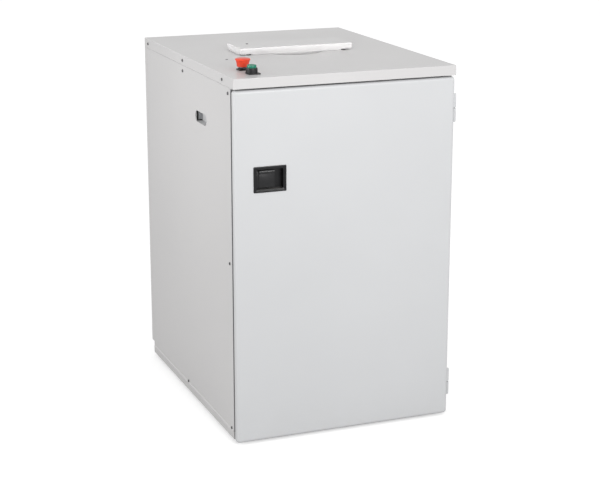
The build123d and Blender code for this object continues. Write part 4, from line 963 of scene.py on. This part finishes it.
class DISINTEGRATOR_OT_door_seal(Operator):
    """Rubber strips with a rounded back round the door opening, and a grey lip at the left edge whose tone is
    painted shade for the door gap
    """

    bl_idname = "disintegrator.door_seal"
    bl_label = "Door Seal"

    def execute(self, context):
        low, high = corners("door_seal")
        front = high[1] - 2
        thick = front - low[1]
        turn = np.linspace(0, math.pi, 13)
        bulb = np.column_stack((4.0 * np.cos(turn), 0.3 * thick + 0.68 * thick * np.sin(turn)))
        loop = np.concatenate((((4.0, 0.0),), bulb, ((-4.0, 0.0),)))
        tall = loop * (1.0, 1 + 2 / thick)
        left, right, foot = low[0] + 4, high[0] - 4, low[2] + 14
        hinge_gaps = (45.5, 136.5, 804.5)
        runs = ((left, foot, high[2] - 8), (right, foot, hinge_gaps[0]), (right, *hinge_gaps[1:]))
        shapes = [bar(loop, (x, front, z0), (x, front, z1), RIGHT, FRONT) for x, z0, z1 in runs]
        reach = 273.0
        for strip, y, z in ((loop, front, low[2] + 4), (tall, front + 2, high[2] - 4)):
            shapes.append(bar(strip, (-reach, y, z), (reach, y, z), UP, FRONT))
        piece("door_seal_strips", shapes, "cabinet", "seal_rubber", ("door_seal",), 60)
        # painted shade: a grey lip in the gap at the door's left edge, its tone standing in for the shaded
        # gap line
        edge, door_top = corners("left_side_panel")[0][0] + 2.8, corners("door_shell")[1][2]
        lip = rounded_loop(5.0, 2.2, 0.6, 3)
        shapes = [bar(lip, (edge, front - 1, foot), (edge, front - 1, door_top), RIGHT, FRONT)]
        piece("seal_edge_lip", shapes, "cabinet", "frame_paint")
        return {"FINISHED"}


class DISINTEGRATOR_OT_sound_foam(Operator):
    """Convoluted sound foam on the door's inside, cut to fit round the latch"""

    bl_idname = "disintegrator.sound_foam"
    bl_label = "Sound Foam"

    def pad(self, x0, x1, z0, z1, back, thick, pitch, dip):
        """Grid with y = back + thick * edge * (1 - dip * (1 - cos kx cos kz) / 2), edge a quarter circle."""
        step, round_edge = 5.5, 6.0
        across, upward = (np.linspace(a, b, max(4, int((b - a) / step))) for a, b in ((x0, x1), (z0, z1)))
        x, z = np.meshgrid(across, upward, indexing="ij")
        rim = np.minimum(np.minimum(x - x0, x1 - x), np.minimum(z - z0, z1 - z))
        edge = np.sqrt(1 - (1 - np.clip(rim / round_edge, 0, 1)) ** 2)
        wave = np.cos(FULL * x / pitch) * np.cos(FULL * z / pitch)
        y = back + thick * edge * (1 - dip * (1 - wave) / 2)
        index, quads = grid_faces(x.shape)
        border = np.concatenate((index[:-1, 0], index[-1, :-1], index[:0:-1, -1], index[0, :0:-1]))
        return np.stack((x, y, z), axis=-1).reshape(-1, 3), quads, [border[::-1]]

    def execute(self, context):
        trim = context.scene.disintegrator_trim
        low, high = corners("door_liner")
        x, _, z = sum(corners("latch_cup")) / 2
        gap = 0.4
        half_wide, half_tall = 45, 35
        left, right, bottom, top = x - half_wide, x + half_wide, z - half_tall, z + half_tall
        spans = (
            (low[0], high[0], low[2], bottom - gap),
            (low[0], high[0], top + gap, high[2]),
            (low[0], left - gap, bottom, top),
            (right + gap, high[0], bottom, top),
        )
        thick = high[1] - low[1]
        pitch = trim.foam_pitch / MM
        shapes = [self.pad(*span, low[1], thick, pitch, trim.foam_dip) for span in spans]
        foam = piece("door_foam", shapes, "door", "liner_foam", ("door_liner",), 80)
        return {"FINISHED"}


class DISINTEGRATOR_OT_waste_bin(Operator):
    """Moulded bin with drafted walls, two stiffening ribs and a rolled rim"""

    bl_idname = "disintegrator.waste_bin"
    bl_label = "Waste Bin"

    def execute(self, context):
        rib = context.scene.disintegrator_trim.bin_rib / MM
        low, high = corners("waste_bin")
        x, y, _ = (low + high) / 2
        wide, deep, tall = high - low
        rim_narrow, draft, corner, thick = 16, 18, 25, 3.0

        def wall(height, swell=0.0, inset=0.0):
            """Rounded outline of the drafted wall at a height, pushed out by swell or in by inset."""
            narrow = rim_narrow + draft * (1 - height / tall) - 2 * swell + 2 * inset
            return wide - narrow, deep - narrow, corner - inset, height

        sections = [(wide - 50, deep - 50, 18, 0.0), (wide - 38, deep - 38, 23, 1.2), wall(6.0)]
        for middle in (0.34 * tall, 0.68 * tall):
            sections += [wall(middle - 9), wall(middle - 6, rib), wall(middle + 6, rib), wall(middle + 9)]
        sections += [
            wall(tall - 14),
            (wide - 4, deep - 4, 31, tall - 12.5),
            (wide, deep, 33, tall - 11),
            (wide, deep, 33, tall - 2.5),
            (wide - 2, deep - 2, 32, tall - 0.6),
            (wide - 6, deep - 6, 30, tall),
            (wide - 18, deep - 18, 24, tall),
            (wide - 21, deep - 21, 22.5, tall - 2),
            wall(tall - 14, inset=thick),
            wall(10.0, inset=thick),
            (wide - 46, deep - 46, 20, 4.0),
            (wide - 60, deep - 60, 16, 3.0),
        ]
        shell = sleeve(sections, "top", (x, y, low[2]), 7)
        piece("waste_bin_shell", [shell], "cabinet", "bin_plastic", ("waste_bin",))
        return {"FINISHED"}


class DISINTEGRATOR_OT_mill_fixings(Operator):
    """Hexagon bolts with washers on the mill and the knives, bearing seals and grease nipples"""

    bl_idname = "disintegrator.mill_fixings"
    bl_label = "Mill Fixings"

    def execute(self, context):
        _, y, z = sum(corners("rotor_drum")) / 2
        face = corners("front_housing")[0][1]
        columns, rows = (-120.0, -40.0, 40.0, 120.0), (-26.0, 52.5)
        shapes = [hex_head("front", (x, face, z + dz)) for x in columns for dz in rows]
        bear_low, bear_high = corners("bearing_housings")
        flange, reach = 18, (-35, 35)
        for side, face in (("left", bear_low[0] + flange), ("right", bear_high[0] - flange)):
            spots = [(face, y + dy, z + dz) for dy in reach for dz in reach]
            shapes += [hex_head(side, spot, washer=8.6) for spot in spots]
        piece("mill_bolts", shapes, "cabinet", "zinc_steel", ("housing_bolts",))
        seals, nipples, housing_top = [], [], 31.6
        lip = [(21.0, 0.0), (30.0, 0.0), (29.4, 1.4), (26.0, 1.0), (24.0, 2.2), (21.0, 2.4)]
        nipple = [(3.4, 0.0, 6), (3.4, 3.0, 6), (2.2, 3.4), (2.2, 5.0)]
        nipple += [(1.2, 6.0), (2.0, 7.4), (1.0, 8.4), (0.0, 8.6)]
        for side, face, inward in (("left", bear_low[0], 9.0), ("right", bear_high[0], -9.0)):
            seals.append(turned(lip, side, (face, y, z), 40, ring=True))
            nipples.append(turned(nipple, "top", (face + inward, y, z + housing_top), 24))
        piece("bearing_seals", seals, "cabinet", "rubber")
        piece("grease_nipples", nipples, "cabinet", "zinc_steel")
        bolts, knives = [], 3
        knife_columns, knife_seat = (-112.5, -37.5, 37.5, 112.5), (52.0, 10.0)
        for knife in range(knives):
            cos, sin = math.cos(FULL * knife / knives), math.sin(FULL * knife / knives)
            turn = np.array((RIGHT, (0, cos, sin), (0, -sin, cos)))
            for x in knife_columns:
                points, quads, ends = hex_head("top", (x, *knife_seat), washer=8.2)
                bolts.append((points @ turn + (0, y, z), quads, ends))
        piece("knife_bolt_heads", bolts, "rotor", "zinc_steel", ("knife_bolts",))
        return {"FINISHED"}


class DISINTEGRATOR_OT_drive(Operator):
    """Pulleys with sunk webs and hubs, and the belt round them"""

    bl_idname = "disintegrator.drive"
    bl_label = "Belt Drive"

    def execute(self, context):
        wheels = (
            ("rotor_pulley", "rotor_wheel", "rotor", 20.1),
            ("motor_pulley", "motor_wheel", "motor_drive", 14.1),
        )
        rims = []
        for node, name, body, bore in wheels:
            low, high = corners(node)
            _, y, z = (low + high) / 2
            rim, wide = (high[2] - low[2]) / 2, high[0] - low[0]
            hub = bore + 9
            profile = [(bore, 0.3), (bore + 0.6, 0.0), (hub, 0.0), (hub + 0.8, 1.0), (hub + 1.6, 6.0)]
            profile += [(rim - 9, 6.0), (rim - 7.6, 1.0), (rim - 6.6, 0.0), (rim - 1.0, 0.0), (rim, 1.0)]
            profile += [(r, wide - h) for r, h in profile[::-1]]
            shapes = [turned(profile, "right", (low[0], y, z), 64, ring=True)]
            reach, screws, first = (bore + hub) / 2 + 0.4, 3, 0.5
            for angle in (FULL * k / screws + first for k in range(screws)):
                spot = (high[0] - 0.3, y + reach * math.cos(angle), z + reach * math.sin(angle))
                shapes.append(pan_head("right", spot, 3.0, 1.2))
            piece(name, shapes, body, "pulley_iron", (node,))
            rims.append((y, z, rim + 0.3))
        (y0, z0, r0), (y1, z1, r1) = rims
        run = math.hypot(y1 - y0, z1 - z0)
        lean = math.atan2(z1 - z0, y1 - y0)
        wrap = math.acos((r0 - r1) / run)
        counts = (40, 32)
        turn0 = np.linspace(lean + wrap, lean + FULL - wrap, counts[0])
        turn1 = np.linspace(lean - wrap, lean + wrap, counts[1])
        out = np.concatenate((turn0, turn1))
        centre = np.repeat(np.array(rims), counts, axis=0)
        normal = np.column_stack((np.zeros_like(out), np.cos(out), np.sin(out)))
        low, high = corners("drive_belt")
        x, half = (low[0] + high[0]) / 2, (high[0] - low[0]) / 2
        path = np.column_stack((np.full_like(out, x), centre[:, :2])) + normal * centre[:, 2:]
        right_side = [(half - 1.5, 0), (half, 1.4), (half, 5.2), (half - 0.8, 6)]
        left_side = [(-a, b) for a, b in right_side[::-1]]
        loop = np.array(left_side[-1:] + right_side + left_side[:-1])
        piece("belt_loop", [carried(loop, path, normal, RIGHT)], "cabinet", "rubber", ("drive_belt",))
        return {"FINISHED"}


class DISINTEGRATOR_OT_electrics(Operator):
    """Foot bolts and terminal-box trim on the motor, trim on the control box, and the cable entry"""

    bl_idname = "disintegrator.electrics"
    bl_label = "Electrics"

    def execute(self, context):
        low, high = corners("motor_body")
        x, y, _ = (low + high) / 2
        foot = low[2] + 14
        spots = [(x + dx, y + dy, foot) for dx in (-52, 52) for dy in (-78, 78)]
        bolts = [hex_head("top", spot, washer=9.5) for spot in spots]
        piece("motor_foot_bolts", bolts, "cabinet", "zinc_steel")
        low, high = corners("terminal_box")
        x, y, _ = (low + high) / 2
        spots = [(x + dx, y + dy, high[2]) for dx in (-38, 38) for dy in (-30, 30)]
        piece("terminal_screws", [pan_head("top", spot, 3.4, 1.8) for spot in spots], "cabinet", "zinc_steel")
        piece("terminal_gland", [gland("left", (low[0], y, low[2] + 20))], "cabinet", "black_plastic")
        low, high = corners("control_box")
        x, _, z = (low + high) / 2
        spots = [(x + dx, low[1], z + dz) for dx in (-128, 128) for dz in (-98, 102)]
        shapes = [pan_head("front", spot, 4.6, 1.6) for spot in spots]
        piece("box_lid_screws", shapes, "cabinet", "zinc_steel")
        shapes = [gland("right", (high[0] - 4, high[1] - 60, z + dz), 8.0, 18.0) for dz in (-70, -30)]
        piece("box_glands", shapes, "cabinet", "black_plastic")
        low, high = corners("cable_entry")
        x, _, z = (low + high) / 2
        spot = (x, low[1], z)
        grommet = (
            *((14.0, 0.0), (14.0, 2.6), (13.2, 4.2), (11.6, 5.0), (10.6, 4.4), (9.6, 4.2), (8.8, 5.0)),
            *((7.8, 6.8), (6.4, 7.6), (5.2, 7.2), (4.4, 6.8), (3.4, 7.4), (2.0, 8.0), (0.0, 8.0)),
        )
        piece("entry_grommet", [turned(grommet, "rear", spot, 40)], "cabinet", "rubber", ("cable_entry",), 50)
        return {"FINISHED"}


class DISINTEGRATOR_OT_rubbers(Operator):
    """Feet, vibration mounts under the mill, and the lid's bumpers"""

    bl_idname = "disintegrator.rubbers"
    bl_label = "Feet and Mounts"

    def spots(self, node, radius):
        """Centres of four round pieces at the corners of a node's box."""
        low, high = corners(node)
        near, far = low + radius, high - radius
        return [(x, y, low[2]) for x in (near[0], far[0]) for y in (near[1], far[1])]

    def execute(self, context):
        foot = ((19.5, 0.0), (20.5, 0.4), (21.0, 1.2), (22.0, 8.6), (21.6, 9.6), (20.8, 10.0))
        shapes = [turned(foot, "top", spot, 40) for spot in self.spots("rubber_feet", 22.0)]
        piece("feet", shapes, "cabinet", "rubber", ("rubber_feet",))
        mount = ((14.6, 0.0), (15.0, 0.3), (15.0, 1.6), (13.6, 2.0), (12.6, 4.0), (12.2, 7.0))
        mount += tuple((r, 14 - h) for r, h in mount[-2::-1])
        shapes = [turned(mount, "top", spot, 40) for spot in self.spots("vibration_mounts", 15.0)]
        piece("mill_mounts", shapes, "cabinet", "rubber", ("vibration_mounts",))
        low, high = corners("lid_bumpers")
        tall, radius = high[2] - low[2], 6.0
        dome = ((radius, 0.0), (radius, tall * 0.5), (5.6, tall * 0.85), (4.6, tall), (0.0, tall))
        y = (low[1] + high[1]) / 2
        shapes = [turned(dome, "top", (x, y, low[2]), 28) for x in (low[0] + radius, high[0] - radius)]
        piece("lid_bumper_domes", shapes, "cabinet", "rubber", ("lid_bumpers",))
        return {"FINISHED"}


FLOOR_REACH = 40
WHITE = (1.0, 1.0, 1.0, 1.0)
# Name, size, beam angle in degrees, place and target, in metres
LAMPS = (
    ("front_lamp", (1.2, 0.8), 110, (0.2, -2.6, 1.35), (0.0, -0.39, 0.85)),
    ("side_lamp", (1.0, 0.5), 110, (-1.9, -0.25, 1.1), (-0.3, -0.1, 0.95)),
    ("strip_lamp", (0.6, 0.03), 12.6, (-0.5, -0.88, 1.055), (0.0, -0.05, 1.055)),
)


class DISINTEGRATOR_OT_stage(Operator):
    """Pale floor, soft light and the camera"""

    bl_idname = "disintegrator.stage"
    bl_label = "Studio"

    def execute(self, context):
        stage = context.scene.disintegrator_stage
        line = np.linspace(-FLOOR_REACH, FLOOR_REACH, 9)
        u, v = np.meshgrid(line, line, indexing="ij")
        quads = grid_faces(u.shape)[1]
        mesh = bpy.data.meshes.new("studio_floor")
        mesh.from_pydata(np.stack((u, v, np.zeros_like(u)), axis=-1).reshape(-1, 3), [], quads.tolist())
        paint = bpy.data.materials.new("studio_paint")
        paint.use_nodes = True
        shader = paint.node_tree.nodes["Principled BSDF"]
        shader.inputs["Base Color"].default_value = (*stage.floor_colour, 1.0)
        shader.inputs["Roughness"].default_value = 0.9
        shader.inputs["Specular IOR Level"].default_value = 0.1
        shader.inputs["Emission Color"].default_value = WHITE
        seen = paint.node_tree.nodes.new("ShaderNodeLightPath").outputs["Is Camera Ray"]
        glow = sums(paint.node_tree, "MULTIPLY", seen, stage.floor_glow)
        paint.node_tree.links.new(glow, shader.inputs["Emission Strength"])
        mesh.materials.append(paint)
        floor = bpy.data.objects.new("studio_floor", mesh)
        context.scene.collection.objects.link(floor)

        world = bpy.data.worlds.new("studio_sky")
        world.use_nodes = True
        sky = world.node_tree.nodes["Background"]
        sky.inputs["Color"].default_value = WHITE
        sky.inputs["Strength"].default_value = stage.sky
        context.scene.world = world

        for name, size, beam, place, target in LAMPS:
            self.hang(context, name, size, beam, getattr(stage, name), place, target)

        lens = bpy.data.cameras.new("studio_camera")
        lens.sensor_width = 36.0
        lens.lens = stage.lens
        lens.clip_end = 200.0
        camera = bpy.data.objects.new("studio_camera", lens)
        camera.location = stage.camera_place
        camera.rotation_euler = (math.pi / 2 - stage.camera_tilt, 0.0, -stage.camera_heading)
        context.scene.collection.objects.link(camera)
        context.scene.camera = camera
        context.scene.view_settings.view_transform = "Standard"
        return {"FINISHED"}

    def hang(self, context, name, size, beam, power, place, target):
        """Hangs a rectangular lamp at a place, facing a target point, with its beam kept to an angle."""
        light = bpy.data.lights.new(name, "AREA")
        light.shape = "RECTANGLE"
        light.size, light.size_y = size
        light.spread = math.radians(beam)
        light.energy = power
        lit = bpy.data.objects.new(name, light)
        away = np.array(place) - np.array(target)
        flat = math.hypot(away[0], away[1])
        lit.location = place
        lit.rotation_euler = (math.atan2(flat, away[2]), 0.0, math.atan2(away[0], -away[1]))
        context.scene.collection.objects.link(lit)


class DISINTEGRATOR_PT_looks(Panel):
    """Settings and build steps of the disintegrator"""

    bl_idname = "DISINTEGRATOR_PT_looks"
    bl_label = "Disintegrator"
    bl_space_type = "VIEW_3D"
    bl_region_type = "UI"
    bl_category = "Disintegrator"

    def draw(self, context):
        layout = self.layout
        for group, kind in SETTINGS.items():
            box = layout.box()
            for name in kind.__annotations__:
                box.prop(getattr(context.scene, group), name)
        for step in STEPS:
            layout.operator(step.bl_idname)


SETTINGS = {
    "disintegrator_coat": CoatSettings,
    "disintegrator_controls": ControlSettings,
    "disintegrator_trim": TrimSettings,
    "disintegrator_stage": StageSettings,
}
STEPS = (
    DISINTEGRATOR_OT_finishes,
    DISINTEGRATOR_OT_screws,
    DISINTEGRATOR_OT_grip_shade_pads,
    DISINTEGRATOR_OT_panel_hems,
    DISINTEGRATOR_OT_lid_lips,
    DISINTEGRATOR_OT_stop_button,
    DISINTEGRATOR_OT_start_button,
    DISINTEGRATOR_OT_latch,
    DISINTEGRATOR_OT_door_hinges,
    DISINTEGRATOR_OT_door_seal,
    DISINTEGRATOR_OT_sound_foam,
    DISINTEGRATOR_OT_waste_bin,
    DISINTEGRATOR_OT_mill_fixings,
    DISINTEGRATOR_OT_drive,
    DISINTEGRATOR_OT_electrics,
    DISINTEGRATOR_OT_rubbers,
    DISINTEGRATOR_OT_stage,
)


def register():
    """Registers the settings, the build steps and the panel."""
    for group in SETTINGS.values():
        bpy.utils.register_class(group)
    for step in (*STEPS, DISINTEGRATOR_PT_looks):
        bpy.utils.register_class(step)
    for name, group in SETTINGS.items():
        setattr(bpy.types.Scene, name, PointerProperty(type=group))


def unregister():
    """Takes back what register did, in the opposite order."""
    for name in SETTINGS:
        delattr(bpy.types.Scene, name)
    for step in (DISINTEGRATOR_PT_looks, *reversed(STEPS)):
        bpy.utils.unregister_class(step)
    for group in reversed(SETTINGS.values()):
        bpy.utils.unregister_class(group)


def main():
    """Registers the classes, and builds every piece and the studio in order."""
    register()
    bpy.ops.disintegrator.finishes()
    bpy.ops.disintegrator.screws()
    bpy.ops.disintegrator.grip_pads()
    bpy.ops.disintegrator.panel_hems()
    bpy.ops.disintegrator.lid_lips()
    bpy.ops.disintegrator.stop_button()
    bpy.ops.disintegrator.start_button()
    bpy.ops.disintegrator.latch()
    bpy.ops.disintegrator.door_hinges()
    bpy.ops.disintegrator.door_seal()
    bpy.ops.disintegrator.sound_foam()
    bpy.ops.disintegrator.waste_bin()
    bpy.ops.disintegrator.mill_fixings()
    bpy.ops.disintegrator.drive()
    bpy.ops.disintegrator.electrics()
    bpy.ops.disintegrator.rubbers()
    bpy.ops.disintegrator.stage()


if __name__ == "__main__":
    main()
